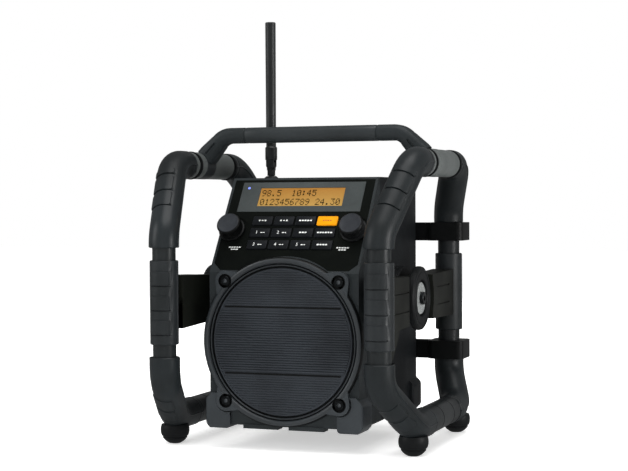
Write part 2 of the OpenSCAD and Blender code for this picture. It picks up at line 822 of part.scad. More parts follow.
module dc_inlet() color("#191a1b") {
    jack(dc_x, dc_nose_r, dc_r, 9.5, 13);
    rod_y(1.05, case_rear - 11, case_rear - 2, dc_x, jack_z);
}

module jack_cover() color("#2a2c2e") {
    low = jack_z - cover_half;
    y0 = case_rear + slip;
    inner_left = cover_left + cover_lug + slip;
    inner_right = cover_right - cover_lug - slip;
    middle = (cover_left + cover_right) / 2;
    difference() {
        union() {
            block([cover_left, y0, low], [cover_right, y0 + cover_t, jack_z + cover_half - 0.6]);
            block([inner_left, y0 + 0.6, jack_z + cover_half - 1],
                  [inner_right, y0 + cover_t, cover_hinge_z]);
            rod_x(cover_hinge_r, inner_left, inner_right, cover_hinge_y, cover_hinge_z);
            block([middle - 8, y0 + cover_t - eps, low - 3], [middle + 8, y0 + cover_t + 1.2, low + 3]);
        }
        rod_x(cover_pin_r + run, cover_left - 1, cover_right + 1, cover_hinge_y, cover_hinge_z);
    }
}

module battery_cells() color("#b9a54a")
    for (c = [0:cell_columns - 1], r = [0:cell_rows - 1])
        translate([(c - (cell_columns - 1) / 2) * (2 * cell_r + cell_gap), bay_y + cell_r + 0.4,
                   bay_low + 0.4 + r * (cell_h + 0.6)]) {
            cylinder(h = cell_h - 1.5, r = cell_r);
            cylinder(h = cell_h, r = 4.5);
        }

module battery_door() color("#303336") {
    low = bay_low - door_over;
    high = bay_high + door_over;
    knuckle_low = hinge_low + hinge_lug + slip;
    knuckle_high = hinge_high - hinge_lug - slip;
    difference() {
        union() {
            block([door_left, door_y, low], [door_right, door_y + door_t, high]);
            for (i = [0:3]) block([door_left + 10, door_y + door_t - eps, low + 22 + i * 26],
                                  [door_right - 24, door_y + door_t + 1.2, low + 30 + i * 26]);
            block([hinge_x, door_y + 0.5, knuckle_low], [door_left + 1, door_y + door_t - 0.5, knuckle_high]);
            translate([hinge_x, hinge_y, knuckle_low]) cylinder(h = knuckle_high - knuckle_low, r = hinge_r);
        }
        translate([hinge_x, hinge_y, 0]) cylinder(h = 2 * case_top, r = hinge_pin_r + run);
        rod_y(door_shank_r + run, case_rear - 1, case_rear + 20, door_screw_x, door_screw_z);
    }
}

module door_screw() color("#1f2123") {
    face = door_y + door_t + run;
    rod_y(door_shank_r, case_rear - 5, face + 1, door_screw_x, door_screw_z);
    difference() {
        rod_y(door_knob_r, face, face + 6, door_screw_x, door_screw_z);
        block([door_screw_x - 10, face + 4, door_screw_z - 1],
              [door_screw_x + 10, face + 8, door_screw_z + 1]);
    }
}

// ---------------------------------------------------------------- antenna

module antenna_socket() color("#222426")
    translate([antenna_x, antenna_back, 0]) difference() {
        union() {
            translate([0, 0, case_top]) rotate_extrude()
                polygon([[0, 0], [socket_r, 0], [socket_r, 1], [socket_r - 2.5, 3], [0, 3]]);
            translate([0, 0, case_top - 6]) cylinder(h = 6 + eps, r = stem_r + 2);
        }
        translate([0, 0, case_top - 7]) cylinder(h = 12, r = stem_r + run);
    }

module antenna_swivel() color("#1c1e20")
    translate([antenna_x, antenna_back, 0]) difference() {
        collar_top = pin_z - tongue_r - 0.5;
        union() {
            translate([0, 0, case_top - 5]) cylinder(h = 9, r = stem_r);
            translate([0, 0, case_top + 3 + slip])
                cylinder(h = collar_top - case_top - 3 - slip, r = tongue_r);
            block([-tongue_r, -tongue_t / 2, collar_top - 1], [tongue_r, tongue_t / 2, pin_z]);
            rod_y(tongue_r, -tongue_t / 2, tongue_t / 2, 0, pin_z);
        }
        rod_y(tilt_pin_r + run, -10, 10, 0, pin_z);
    }

module antenna_rod() color("#232527")
    translate([antenna_x, antenna_back, 0]) {
        knuckle_foot = pin_z + tongue_r + 1;
        knuckle_h = 16;
        tip = pin_z + antenna_len;
        for (s = [-1, 1]) {
            y0 = s > 0 ? tongue_t / 2 + slip : -tongue_t / 2 - slip - ear_t;
            rod_y(tongue_r, y0, y0 + ear_t, 0, pin_z);
            block([-tongue_r, y0, pin_z], [tongue_r, y0 + ear_t, knuckle_foot + 1]);
        }
        rod_y(tilt_pin_r, -tongue_t / 2 - slip - ear_t, tongue_t / 2 + slip + ear_t, 0, pin_z);
        translate([0, 0, knuckle_foot]) rotate_extrude() polygon([
            [0, 0], [knuckle_r - 1, 0], [knuckle_r, 1], [knuckle_r, knuckle_h - 1.5],
            [antenna_r, knuckle_h], [antenna_r, knuckle_h + 8], [antenna_r - 0.6, tip - knuckle_foot - 2],
            [antenna_r - 2.6, tip - knuckle_foot], [0, tip - knuckle_foot]]);
    }

// ---------------------------------------------------------------- cage

module frame_tube()
    pipe([top_front, front_upper, front_lower, bottom_front,
          bottom_rear, rear_lower, rear_upper, top_rear],
         [corner_bend, upright_bend, upright_bend, corner_bend,
          corner_bend, upright_bend, upright_bend, corner_bend], tube_r, true);

module frame_tube_right() color("#4a4e50") frame_tube();

module frame_tube_left() color("#4a4e50") mirror([1, 0, 0]) frame_tube();

// Bar from along the rail, round the corner and down or up the slant on to the upright
module elbow_bar(corner, bend, along_rail, cuff, r, extra, ease) {
    rail_end = corner + [0, along_rail + sign(along_rail) * extra, 0];
    cuff_end = bend + [0, 0, cuff + sign(cuff) * extra];
    pipe([rail_end, corner, bend, cuff_end], [0, corner_bend + ease, upright_bend + ease, 0], r);
}

// Rubber sleeve that fits over the tube at an elbow
module elbow_sleeve(corner, bend, along_rail, cuff) {
    difference() {
        elbow_bar(corner, bend, along_rail, cuff, elbow_r, 0, sleeve_ease);
        elbow_bar(corner, bend, along_rail, cuff, tube_r + bond, 1, 0);
    }
}

module top_front_elbows() color("#33363a")
    both_sides() elbow_sleeve(top_front, front_upper, top_sleeve_front, -front_cuff_top);

module bottom_front_elbows() color("#33363a")
    both_sides() elbow_sleeve(bottom_front, front_lower, bottom_sleeve_front, front_cuff_bottom);

module top_rear_elbows() color("#33363a")
    both_sides() elbow_sleeve(top_rear, rear_upper, -top_sleeve_rear, -rear_cuff_top);

module bottom_rear_elbows() color("#33363a")
    both_sides() elbow_sleeve(bottom_rear, rear_lower, -bottom_sleeve_rear, rear_cuff_bottom);

module grip(y) {
    difference() {
        union() {
            translate([upright_x, y, grip_bottom]) cylinder(h = grip_h, r = grip_r);
            if (y < 0) intersection() {
                for (i = [-1:1]) translate([upright_x, y, hub_z + i * grip_h * 0.29 - grip_h * 0.083])
                    cylinder(h = grip_h / 6, r = grip_r + pad_proud);
                block([upright_x - 12, y - 2 * grip_r, 0], [upright_x + 12, y, 2 * hub_z]);
            }
        }
        translate([upright_x, y, grip_bottom - 1]) cylinder(h = grip_h + 2, r = tube_r + bond);
    }
}

module front_grips() color("#33363a") both_sides() grip(front_y);

module rear_grips() color("#33363a") both_sides() grip(rear_y);

// Cup under a corner that the elbow sleeve sits in
module foot(corner) {
    translate([corner[0], corner[1], 0]) intersection() {
        translate([0, 0, foot_centre]) sphere(r = foot_r);
        cylinder(h = foot_h, r = 2 * foot_r);
    }
}

module feet() color("#1b1c1e")
    both_sides() {
        difference() {
            foot(bottom_front);
            elbow_bar(bottom_front, front_lower, bottom_sleeve_front, front_cuff_bottom,
                      elbow_r + bond, 0, sleeve_ease);
        }
        difference() {
            foot(bottom_rear);
            elbow_bar(bottom_rear, rear_lower, -bottom_sleeve_rear, rear_cuff_bottom,
                      elbow_r + bond, 0, sleeve_ease);
        }
    }

// ---------------------------------------------------------------- handle

module handle_section(w, d) {
    polygon(round_rect(w, d, min(w, d) * 0.38, 8));
}

// Half of the handle from its middle out to the rail on the right, w thick and d deep
module handle_half(w, d, x_from) {
    leg = [corner_x - handle_corner_x, top_z - handle_z];
    angle = atan2(-leg[1], leg[0]);
    reach = handle_bend * tan(angle / 2);
    leg_end = norm(leg) - reach - tube_r + 4;
    grow = 2 * swell;
    translate([0, -handle_ahead, handle_z]) rotate([90, 0, 0]) {
        translate([x_from, 0, 0]) rotate([0, 90, 0]) linear_extrude(handle_corner_x - reach - x_from + lap)
            rotate(90) handle_section(w, d);
        translate([handle_corner_x - reach, -handle_bend, 0]) rotate(90 - angle)
            rotate_extrude(angle = angle) translate([handle_bend, 0]) handle_section(w + grow, d + grow);
        translate([handle_corner_x, 0, 0]) rotate(-angle) translate([reach - lap, 0, 0])
            rotate([0, 90, 0]) linear_extrude(leg_end + lap) rotate(90) handle_section(w, d);
    }
}

module handle_bar() color("#3a3d40") {
    half_grip = handle_grip_w / 2;
    clamp_y = -handle_ahead - handle_clamp_w / 2;
    both_sides() difference() {
        union() {
            handle_half(handle_t, handle_d, half_grip + bond);
            rod_y(tube_r + elbow_wall - 1, clamp_y, clamp_y + handle_clamp_w, corner_x, top_z);
        }
        rod_y(tube_r + bond, clamp_y - 30, clamp_y + handle_clamp_w + 30, corner_x, top_z);
    }
    translate([0, -handle_ahead, handle_z]) rotate([0, 90, 0])
        translate([0, 0, -half_grip - 1]) linear_extrude(2 * half_grip + 2)
            handle_section(handle_t - 2 * handle_core, handle_d - 2 * handle_core);
}

module handle_grip() color("#313437") {
    w = handle_grip_w;
    translate([-w / 2, -handle_ahead, handle_z]) rotate([0, 90, 0]) linear_extrude(w) difference() {
        handle_section(handle_t, handle_d);
        handle_section(handle_t - 2 * handle_core + 2 * bond, handle_d - 2 * handle_core + 2 * bond);
    }
}

// ---------------------------------------------------------------- hub, arms and brackets

module side_arm() {
    front_end = front_y + arm_reach;
    rear_end = rear_y - arm_reach;
    half = arm_end_h / 2;
    hub_half = arm_h / 2;
    module outline() polygon([
        [front_end, -half], [front_end, half], [0, hub_half],
        [rear_end, half - 2], [rear_end, 2 - half], [0, -hub_half]]);
    difference() {
        union() {
            translate([0, 0, hub_z]) {
                along_x(arm_inner, arm_outer) outline();
                intersection() {
                    along_x(upright_x - arm_block_in, upright_x + arm_block_out) outline();
                    union() {
                        block([0, front_end - 1, -half], [2 * corner_x, front_end + arm_block_front, half]);
                        block([0, rear_end - arm_block_rear, -half], [2 * corner_x, rear_end + 1, half]);
                    }
                }
            }
            along_x(upright_x - arm_block_in + 8, upright_x + arm_block_out - 1)
                polygon([[front_end + 3, hub_z - half + 1], [front_end + 36, hub_z - half + 1],
                         [front_end + 9, grip_bottom - neck + 2], [front_end + 3, grip_bottom - neck + 2]]);
        }
        for (y = [front_y, rear_y])
            translate([upright_x, y, 0]) cylinder(h = 2 * case_top, r = grip_r + bond);
        rod_x(hub_screw_r + run, 0, 2 * corner_x, 0, hub_z);
        rod_x(bush_r + 1, arm_outer, 2 * corner_x, 0, hub_z);
        rod_x(bush_r + 1, 0, arm_inner, 0, hub_z);
        for (s = [-1, 1]) for (y = [front_end + arm_block_front / 2 + 6, rear_end - arm_block_rear / 2])
            block([upright_x + arm_block_out - 1.5, y - 26, hub_z + s * 10 - 0.7],
                  [2 * corner_x, y + 26, hub_z + s * 10 + 0.7]);
    }
}

module side_arm_right() color("#3b3e3b") side_arm();

module side_arm_left() color("#3b3e3b") mirror([1, 0, 0]) side_arm();

// Turned shape about the hub axis on the right: x is the radius and y the distance out from the middle
module turned_on_hub() {
    translate([0, 0, hub_z]) rotate([0, 90, 0]) rotate_extrude() children();
}

module inner_bushes() color("#191a1c")
    both_sides() turned_on_hub() polygon([
        [hub_screw_r + run, boss_face], [bush_r - 2, boss_face], [bush_r, boss_face + 2],
        [bush_r, arm_inner - 1], [bush_r - 1, arm_inner], [hub_screw_r + run, arm_inner]]);

module outer_bushes() color("#191a1c")
    both_sides() turned_on_hub() polygon([
        [hub_screw_r + run, arm_outer], [bush_r - 1, arm_outer], [bush_r, arm_outer + 1],
        [bush_r, hub_face - 2],
        [bush_r - 2, hub_face], [cup_r + 1, hub_face], [cup_r, hub_face - 1], [cup_r, hub_face - cup_depth],
        [hub_screw_r + run, hub_face - cup_depth]]);

module hub_washers() color("#c9cbc9")
    both_sides() turned_on_hub() translate([hub_screw_r + run, hub_face - cup_depth])
        square([washer_r - hub_screw_r - run, washer_t]);

module hub_screws() color("#17181a")
    both_sides() difference() {
        seat = hub_face - cup_depth + washer_t;
        union() {
            rod_x(hub_screw_r, case_side - 6, seat + eps, 0, hub_z);
            rod_x(hub_head_r, seat, seat + hub_head_t, 0, hub_z);
        }
        translate([seat + 1.5, 0, hub_z]) rotate([0, 90, 0])
            linear_extrude(hub_head_t) circle(r = 3, $fn = 6);
    }

module bracket(z) {
    difference() {
        translate([0, 0, z]) linear_extrude(bracket_h) union() {
            translate([upright_x, rear_y]) polygon(round_rect(2 * bracket_half, 2 * bracket_half, 7));
            translate([bracket_foot_in, case_rear + bond])
                square([upright_x - bracket_foot_in, bracket_foot_t]);
        }
        translate([upright_x, rear_y, z - 1]) cylinder(h = bracket_h + 2, r = tube_r + bond);
        rod_y(screw_r + slip, case_rear - 1, case_rear + 40, bracket_foot_in + 6, z + bracket_h / 2);
    }
}

module upper_brackets() color("#2a2c2e") both_sides() bracket(upper_bracket_z);

module lower_brackets() color("#2a2c2e") both_sides() bracket(lower_bracket_z);

module bracket_screws() color("#232527")
    both_sides() for (z = [upper_bracket_z, lower_bracket_z])
        translate([bracket_foot_in + 6, 0, z + bracket_h / 2])
            bolt_y(case_rear + bond + bracket_foot_t, bracket_foot_t + 11, screw_head_r - 0.4, 2.6);

// ---------------------------------------------------------------- the nodes

front_shell();
rear_shell();
control_fascia();
display_window();
lcd_module();
control_board();
keypad_mat();
speaker_ring();
speaker_grille();
ring_screws();
speaker_basket();
speaker_magnet();
speaker_cone();
knob(-1);  // volume_knob
shaft(-1);  // volume_shaft
knob(1);  // tuning_knob
shaft(1);  // tuning_shaft
main_board();
aux_jack();
dc_inlet();
jack_cover();
battery_cells();
battery_door();
door_screw();
antenna_socket();
antenna_swivel();
antenna_rod();
case_bolts();
frame_tube_right();
frame_tube_left();
top_front_elbows();
bottom_front_elbows();
top_rear_elbows();
bottom_rear_elbows();
front_grips();
rear_grips();
feet();
handle_bar();
handle_grip();
side_arm_right();
side_arm_left();
inner_bushes();
outer_bushes();
hub_washers();
hub_screws();
upper_brackets();
lower_brackets();
bracket_screws();
for (i = [0:key_count - 1]) key(i);
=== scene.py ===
import math

import bmesh
import bpy
from mathutils import Matrix, Vector


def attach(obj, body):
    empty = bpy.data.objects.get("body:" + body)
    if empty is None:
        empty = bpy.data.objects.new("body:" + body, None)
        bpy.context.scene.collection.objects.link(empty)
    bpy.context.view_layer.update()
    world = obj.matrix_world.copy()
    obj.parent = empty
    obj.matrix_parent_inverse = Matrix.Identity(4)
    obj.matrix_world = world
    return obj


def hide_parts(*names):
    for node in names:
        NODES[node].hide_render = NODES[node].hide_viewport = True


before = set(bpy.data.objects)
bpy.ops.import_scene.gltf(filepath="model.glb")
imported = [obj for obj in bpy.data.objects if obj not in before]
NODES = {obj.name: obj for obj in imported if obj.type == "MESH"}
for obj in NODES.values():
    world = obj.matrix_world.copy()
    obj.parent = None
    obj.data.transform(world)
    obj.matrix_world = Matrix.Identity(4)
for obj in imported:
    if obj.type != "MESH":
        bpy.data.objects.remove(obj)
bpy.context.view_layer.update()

MM = 0.001


def at(x, y, z):
    """A place in millimetres, as a vector in metres."""
    return Vector((x, y, z)) * MM


# ---------------------------------------------------------------- sizes, in millimetres

# Case
CASE_SIDE, CASE_FRONT, CASE_REAR, CASE_TOP = 85.0, -97.0, 118.0, 292.987
# Speaker: the height of its middle, how far the ring's screws are from there in X and in Z, where the cone's
# rim sits, and the radii of the ring's domed band
RING_Z, EAR_STEP, CONE_Y = 117.5, 64.488, -79.64
RING_BAND_IN, RING_BAND_OUT = 83.7, 90.5
# Control panel: the height of its foot, and its lean back from upright
PANEL_FOOT, PANEL_LEAN = 191.0, math.radians(34.8)
# Cage: middle lines of the uprights and rails, and the tube's radius
UPRIGHT_X, CORNER_X = 120.0, 137.5
FRONT_Y, REAR_Y = -137.0, 132.5
FRONT_CORNER_Y, REAR_CORNER_Y = -76.0, 98.0
TOP_Z, LOW_Z = 307.987, 30.0
TUBE_R = 12.5
# How far the slants at the four corners fall or rise
TOP_FRONT_DROP, LOW_FRONT_RISE, TOP_REAR_DROP, LOW_REAR_RISE = 76, 47, 50, 36
# Hub: the height of its axis, and how far the arms reach above and below it
HUB_Z, ARM_HALF = 160.194, 28.5
# Antenna: its axis, and the height of its tip
ANTENNA_X, ANTENNA_Y, ANTENNA_TIP = -63.0, 30.0, 472.487

# Panel coordinates: x across, y up the slope, z out of the face
ON_PANEL = Matrix((
    (1, 0, 0, 0),
    (0, math.sin(PANEL_LEAN), -math.cos(PANEL_LEAN), CASE_FRONT * MM),
    (0, math.cos(PANEL_LEAN), math.sin(PANEL_LEAN), PANEL_FOOT * MM),
    (0, 0, 0, 1)))


# ---------------------------------------------------------------- modelling helpers

def only(*pieces):
    """Selects these objects and nothing else. The first is the active one."""
    bpy.ops.object.select_all(action="DESELECT")
    for piece in pieces:
        piece.select_set(True)
    bpy.context.view_layer.objects.active = pieces[0]


def edit(piece):
    """Opens the piece for editing, with all of it selected."""
    only(piece)
    bpy.ops.object.mode_set(mode="EDIT")
    bpy.context.tool_settings.mesh_select_mode = (True, False, False)
    bpy.ops.mesh.select_all(action="SELECT")


def leave():
    """Ends editing, which puts the changes into the piece's mesh."""
    bpy.ops.object.mode_set(mode="OBJECT")


def primitive(kind, name, **settings):
    """Adds one of Blender's primitives, with its place put into its mesh."""
    getattr(bpy.ops.mesh, "primitive_%s_add" % kind)(**settings)
    piece = bpy.context.object
    piece.name = piece.data.name = name
    only(piece)
    bpy.ops.object.transform_apply(location=True, rotation=True, scale=True)
    return piece


def choose(test, kind="VERT"):
    """In edit mode, selects the points whose place passes the test, the edges whose two ends do, or the faces
    whose middle and normal do."""
    piece = bpy.context.edit_object
    bpy.ops.mesh.select_all(action="DESELECT")
    bpy.context.tool_settings.mesh_select_mode = (kind == "VERT", kind == "EDGE", kind == "FACE")
    mesh = bmesh.from_edit_mesh(piece.data)
    mesh.select_mode = {kind}
    if kind == "FACE":
        for face in mesh.faces:
            face.select_set(bool(test(face.calc_center_median(), face.normal)))
    elif kind == "EDGE":
        for edge in mesh.edges:
            edge.select_set(bool(test(edge.verts[0].co, edge.verts[1].co)))
    else:
        for point in mesh.verts:
            point.select_set(bool(test(point.co)))
    mesh.select_flush_mode()
    bmesh.update_edit_mesh(piece.data)


def choose_level(axis, place):
    """In edit mode, selects the points at this place along X, Y or Z, in metres."""
    choose(lambda p: abs(p["XYZ".index(axis)] - place) < 1e-6)


def go(step):
    """Extrudes what is selected."""
    bpy.ops.mesh.extrude_region_move(TRANSFORM_OT_translate={"value": tuple(step)})


def stretch(factors, centre):
    """Resizes what is selected about the centre, by a factor for each axis."""
    bpy.ops.transform.resize(value=factors, center_override=tuple(centre))


def grow(factor, centre):
    """Resizes what is selected about the centre, evenly."""
    if abs(factor - 1) > 1e-6:
        stretch((factor,) * 3, centre)


def move(step):
    """Moves what is selected, in metres."""
    bpy.ops.transform.translate(value=tuple(step))


def swell(height):
    """Moves what is selected outwards along its normals, in millimetres."""
    bpy.ops.transform.shrink_fatten(value=height * MM)


def face_outwards(piece):
    """Merges doubled points, and turns every face outwards."""
    edit(piece)
    bpy.ops.mesh.remove_doubles(threshold=1e-6)
    bpy.ops.mesh.select_all(action="SELECT")
    bpy.ops.mesh.normals_make_consistent(inside=False)
    leave()


def apply(piece, kind, **settings):
    """Adds a modifier and applies it."""
    only(piece)
    modifier = piece.modifiers.new("shape", kind)
    for name, value in settings.items():
        setattr(modifier, name, value)
    bpy.ops.object.modifier_apply(modifier=modifier.name)


def smooth(piece, angle=32):
    """Shades the piece smooth, except across edges sharper than the angle in degrees."""
    only(piece)
    bpy.ops.object.shade_smooth_by_angle(angle=math.radians(angle))


def copied(piece, name, matrix=None):
    """A copy with its own mesh, moved by the matrix."""
    twin = piece.copy()
    twin.data = piece.data.copy()
    twin.name = twin.data.name = name
    bpy.context.collection.objects.link(twin)
    if matrix is not None:
        twin.data.transform(matrix)
    return twin


def mirrored(piece, name):
    """A copy for the other side of the radio, with its faces turned the right way again."""
    twin = copied(piece, name, Matrix.Scale(-1, 4, (1, 0, 0)))
    edit(twin)
    bpy.ops.mesh.flip_normals()
    leave()
    return twin


def joined(pieces, name):
    """The pieces as one object."""
    only(*pieces)
    if len(pieces) > 1:
        bpy.ops.object.join()
    piece = bpy.context.object
    piece.name = piece.data.name = name
    return piece


def both_sides(piece, name):
    """The piece and its mirror image as one."""
    return joined([piece, mirrored(piece, name + "_twin")], name)


def repeated(piece, name, matrices):
    """The piece copied to each of these places and joined. The piece itself goes."""
    copies = [copied(piece, name + "_part", matrix) for matrix in matrices]
    bpy.data.objects.remove(piece)
    return joined(copies, name)


def along_axis(axis, origin):
    """Matrix that takes +Z to the axis and the origin to this place, in millimetres."""
    turn = Vector((0, 0, 1)).rotation_difference(Vector(axis)).to_matrix().to_4x4()
    return Matrix.Translation(at(*origin)) @ turn


def open_ring(name, radius, place, sides=96, **settings):
    """A ring of points with no face, to drive along a route. The radius is in millimetres, the place in
    metres."""
    return primitive("circle", name, vertices=sides, radius=radius * MM, fill_type="NOTHING", location=place,
                     **settings)


def turned(name, profile, axis=(0, 0, 1), origin=(0, 0, 0), sides=96, closed=False):
    """A turned piece: profile is a list of (radius, height) in millimetres, from the foot up. A closed one is
    a ring, whose profile comes back to where it starts. A radius of 0 closes it at the middle."""
    first_r, first_h = profile[0]
    start_r = first_r if first_r > 0 else 1e-3
    piece = open_ring(name, start_r, (0, 0, first_h * MM), sides)
    edit(piece)
    r, h = start_r, first_h
    for next_r, next_h in profile[1:] + ([profile[0]] if closed else []):
        go((0, 0, (next_h - h) * MM))
        next_r = max(next_r, 1e-3)
        grow(next_r / r, (0, 0, next_h * MM))
        r, h = next_r, next_h
    if not closed:
        for end_r, end_h in (profile[0], profile[-1]):
            choose(lambda p: abs(p.z - end_h * MM) < 1e-7
                   and abs(p.xy.length - max(end_r, 1e-3) * MM) < 1e-6)
            if end_r > 0:
                bpy.ops.mesh.edge_face_add()
            else:
                bpy.ops.mesh.merge(type="CENTER")
    leave()
    piece.data.transform(along_axis(axis, origin))
    face_outwards(piece)
    return piece


def bend_reach(before, corner, after, radius):
    """How far from the corner a bend of this radius starts and ends."""
    return radius * math.tan((corner - before).angle(after - corner) / 2)


def swept(points, bends, stations=(), steps=8):
    """In edit mode, drives the selected ring from points[0] along straights and round bends, in metres.
    stations holds (straight, distance from its first point), where a ring is wanted on the way."""
    last = len(points) - 1
    reach = [0.0] * len(points)
    for i in range(1, last):
        reach[i] = bend_reach(points[i - 1], points[i], points[i + 1], bends[i])
    for i in range(last):
        way = points[i + 1] - points[i]
        ahead = way.normalized()
        here, end = reach[i], way.length - reach[i + 1]
        stops = sorted(s for k, s in stations if k == i and here + 1e-5 < s < end - 1e-5)
        for stop in stops + [end]:
            go(ahead * (stop - here))
            here = stop
        if i + 1 < last:
            after = (points[i + 2] - points[i + 1]).normalized()
            inward = (after - after.dot(ahead) * ahead).normalized()
            centre = points[i + 1] - reach[i + 1] * ahead + bends[i + 1] * inward
            # Blender's spin turns left-handed about its axis
            bpy.ops.mesh.spin(steps=steps, angle=ahead.angle(after), center=tuple(centre),
                              axis=tuple(after.cross(ahead).normalized()))


def moulded(node, name, edge, angle=34, segments=2, soft=(), clamped=True):
    """A CAD node's shape with its edges rounded by edge millimetres, as the tool would leave them. Replaces
    the node. soft holds (test, radius): the edges that pass each test are rounded by its radius first."""
    piece = copied(NODES[node], name)
    piece.parent = None
    piece.matrix_world = Matrix.Identity(4)
    edit(piece)
    bpy.ops.mesh.remove_doubles(threshold=2e-6)
    bpy.ops.mesh.dissolve_limited(angle_limit=math.radians(1.0))
    for test, radius in soft:
        choose(test, "EDGE")
        bpy.ops.mesh.bevel(offset=radius * MM, segments=5, affect="EDGES", clamp_overlap=clamped)
    leave()
    apply(piece, "BEVEL", width=edge * MM, segments=segments, limit_method="ANGLE",
          angle_limit=math.radians(angle), use_clamp_overlap=True)
    smooth(piece)
    apply(piece, "WEIGHTED_NORMAL", keep_sharp=True)
    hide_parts(node)
    return piece


def rounded_plate(name, width, height, corner, z=0.0, steps=4):
    """A flat plate in X and Y with round corners, in millimetres: the start of keys, marks and the handle."""
    piece = primitive("plane", name, size=1, location=(0, 0, z * MM))
    piece.data.transform(Matrix.Diagonal((width * MM, height * MM, 1, 1)))
    edit(piece)
    bpy.ops.mesh.bevel(offset=corner * MM, segments=steps, affect="VERTICES", offset_type="OFFSET")
    leave()
    return piece


# ---------------------------------------------------------------- materials

def srgb(code):
    """Linear colour of an sRGB hex code."""
    parts = [int(code[i:i + 2], 16) / 255 for i in (1, 3, 5)]
    return [p / 12.92 if p <= 0.04045 else ((p + 0.055) / 1.055) ** 2.4 for p in parts] + [1.0]


def add(tree, kind, inputs=(), **settings):
    """Adds a shader node with its settings, its inputs set to values or joined to other nodes' outputs."""
    node = tree.nodes.new("ShaderNode" + kind)
    for name, value in settings.items():
        setattr(node, name, value)
    for place, value in dict(inputs).items():
        if isinstance(value, bpy.types.NodeSocket):
            tree.links.new(value, node.inputs[place])
        else:
            node.inputs[place].default_value = value
    return node


def material(name, **sockets):
    """A new material. Its shader's plain sockets are set by name, with _ for a space."""
    made = bpy.data.materials.new(name)
    made.use_nodes = True
    shader = made.node_tree.nodes["Principled BSDF"]
    for place, value in sockets.items():
        shader.inputs[place.replace("_", " ")].default_value = value
    return made, made.node_tree, shader


def grained(name, dark, light, rough, grain, depth, drift=70, spread=0.07, scuff=0.0, **sockets):
    """A moulded, sprayed or cast finish. dark and light are the ends of its colour, which wanders over drift
    millimetres. grain is the size of its texture and depth its height, both in millimetres. rough is its
    middle roughness, and spread how far the grain and the wandering change it. scuff is how strongly the
    marks of handling show."""
    scuff_length, scuff_slenderness = 18.2, 7.0
    made, tree, shader = material(name, **sockets)
    place = add(tree, "TexCoord").outputs["Object"]
    wander = add(tree, "TexNoise", {"Vector": place, "Scale": 1000 / drift, "Detail": 3.0,
                                    "Roughness": 0.55})
    speck = add(tree, "TexNoise", {"Vector": place, "Scale": 1000 / grain, "Detail": 2.0, "Roughness": 0.6})
    level = add(tree, "MapRange", {"Value": wander.outputs["Fac"], "From Min": 0.32, "From Max": 0.68})
    fleck = add(tree, "MapRange", {"Value": speck.outputs["Fac"], "From Min": 0.3, "From Max": 0.7,
                                   "To Min": -0.16, "To Max": 0.16})
    share = add(tree, "Math", {0: level.outputs["Result"], 1: fleck.outputs["Result"]}, operation="ADD",
                use_clamp=True)
    colour = add(tree, "Mix", {0: share.outputs[0], 6: srgb(dark), 7: srgb(light)}, data_type="RGBA")
    gloss = add(tree, "MapRange", {"Value": share.outputs[0], "To Min": rough + spread,
                                   "To Max": rough - spread})
    rough_out, colour_out = gloss.outputs["Result"], colour.outputs[2]
    if scuff:
        slant = add(tree, "Mapping", {"Vector": place, "Rotation": (0.4, 0.3, 0.9),
                                      "Scale": (1.0, scuff_slenderness, 1.0)})
        streak = add(tree, "TexNoise", {"Vector": slant.outputs["Vector"], "Scale": 1000 / scuff_length,
                                        "Detail": 5.0, "Roughness": 0.62})
        mask = add(tree, "MapRange", {"Value": streak.outputs["Fac"], "From Min": 0.66, "From Max": 0.78,
                                      "To Min": 0.0, "To Max": scuff})
        colour_out = add(tree, "Mix", {0: mask.outputs["Result"], 6: colour_out, 7: srgb("#4a4e50")},
                         data_type="RGBA").outputs[2]
    bump = add(tree, "Bump", {"Height": speck.outputs["Fac"], "Strength": 1.0, "Distance": depth * MM})
    for socket, value in (("Base Color", colour_out), ("Roughness", rough_out),
                          ("Normal", bump.outputs["Normal"])):
        tree.links.new(value, shader.inputs[socket])
    return made


# Every grain below is drawn about five times as coarse as the real one, so that it shows.
# Spark-eroded ABS: an even fine grain that breaks up reflections into a satin.
CHARCOAL_ABS = grained("spark eroded charcoal ABS", "#1e2223", "#292d2f", 0.44, 1.3, 0.05, scuff=0.08,
                       Specular_IOR_Level=0.22)
# The rear half comes from the same resin and a coarser tool, so it is a shade darker and duller.
REAR_ABS = grained("coarse grained charcoal ABS", "#111315", "#191c1e", 0.5, 1.6, 0.06, scuff=0.06,
                   Specular_IOR_Level=0.22)
# Polished tool: black with a hint of olive, glossy, with the faint waviness of a moulded flat.
PIANO_ABS = grained("polished black ABS", "#0b0d0c", "#101210", 0.3, 9.0, 0.02, drift=45, spread=0.04,
                    Specular_IOR_Level=0.015)
# Tinted acrylic, hard coated: cool grey, smooth, a little depth from its coat.
SMOKE_ACRYLIC = grained("smoked grey acrylic", "#393d3d", "#444848", 0.28, 7.0, 0.01, drift=60, spread=0.05,
                        Specular_IOR_Level=0.05)
# Ring and bumpers: glass filled nylon, lighter and slightly glossier than the shell.
RING_NYLON = grained("glossy graphite nylon", "#212528", "#2c3033", 0.34, 1.5, 0.02, scuff=0.1,
                     Specular_IOR_Level=0.9)
BUMPER_NYLON = grained("moulded graphite nylon of the bumpers", "#292d30", "#34383b", 0.38, 1.5, 0.05,
                       scuff=0.1, Specular_IOR_Level=0.3)
# Nylon dyed black swallows most light, so the brackets and knobs read as dark. The same material is painted
# shade in the ring's gap, groove, recesses and outer flank, and at the grille's steps.
BLACK_NYLON_AND_PAINTED_SHADE = grained("black nylon and painted shade", "#070808", "#0e0f10", 0.42, 1.4, 0.05, Specular_IOR_Level=0.22)
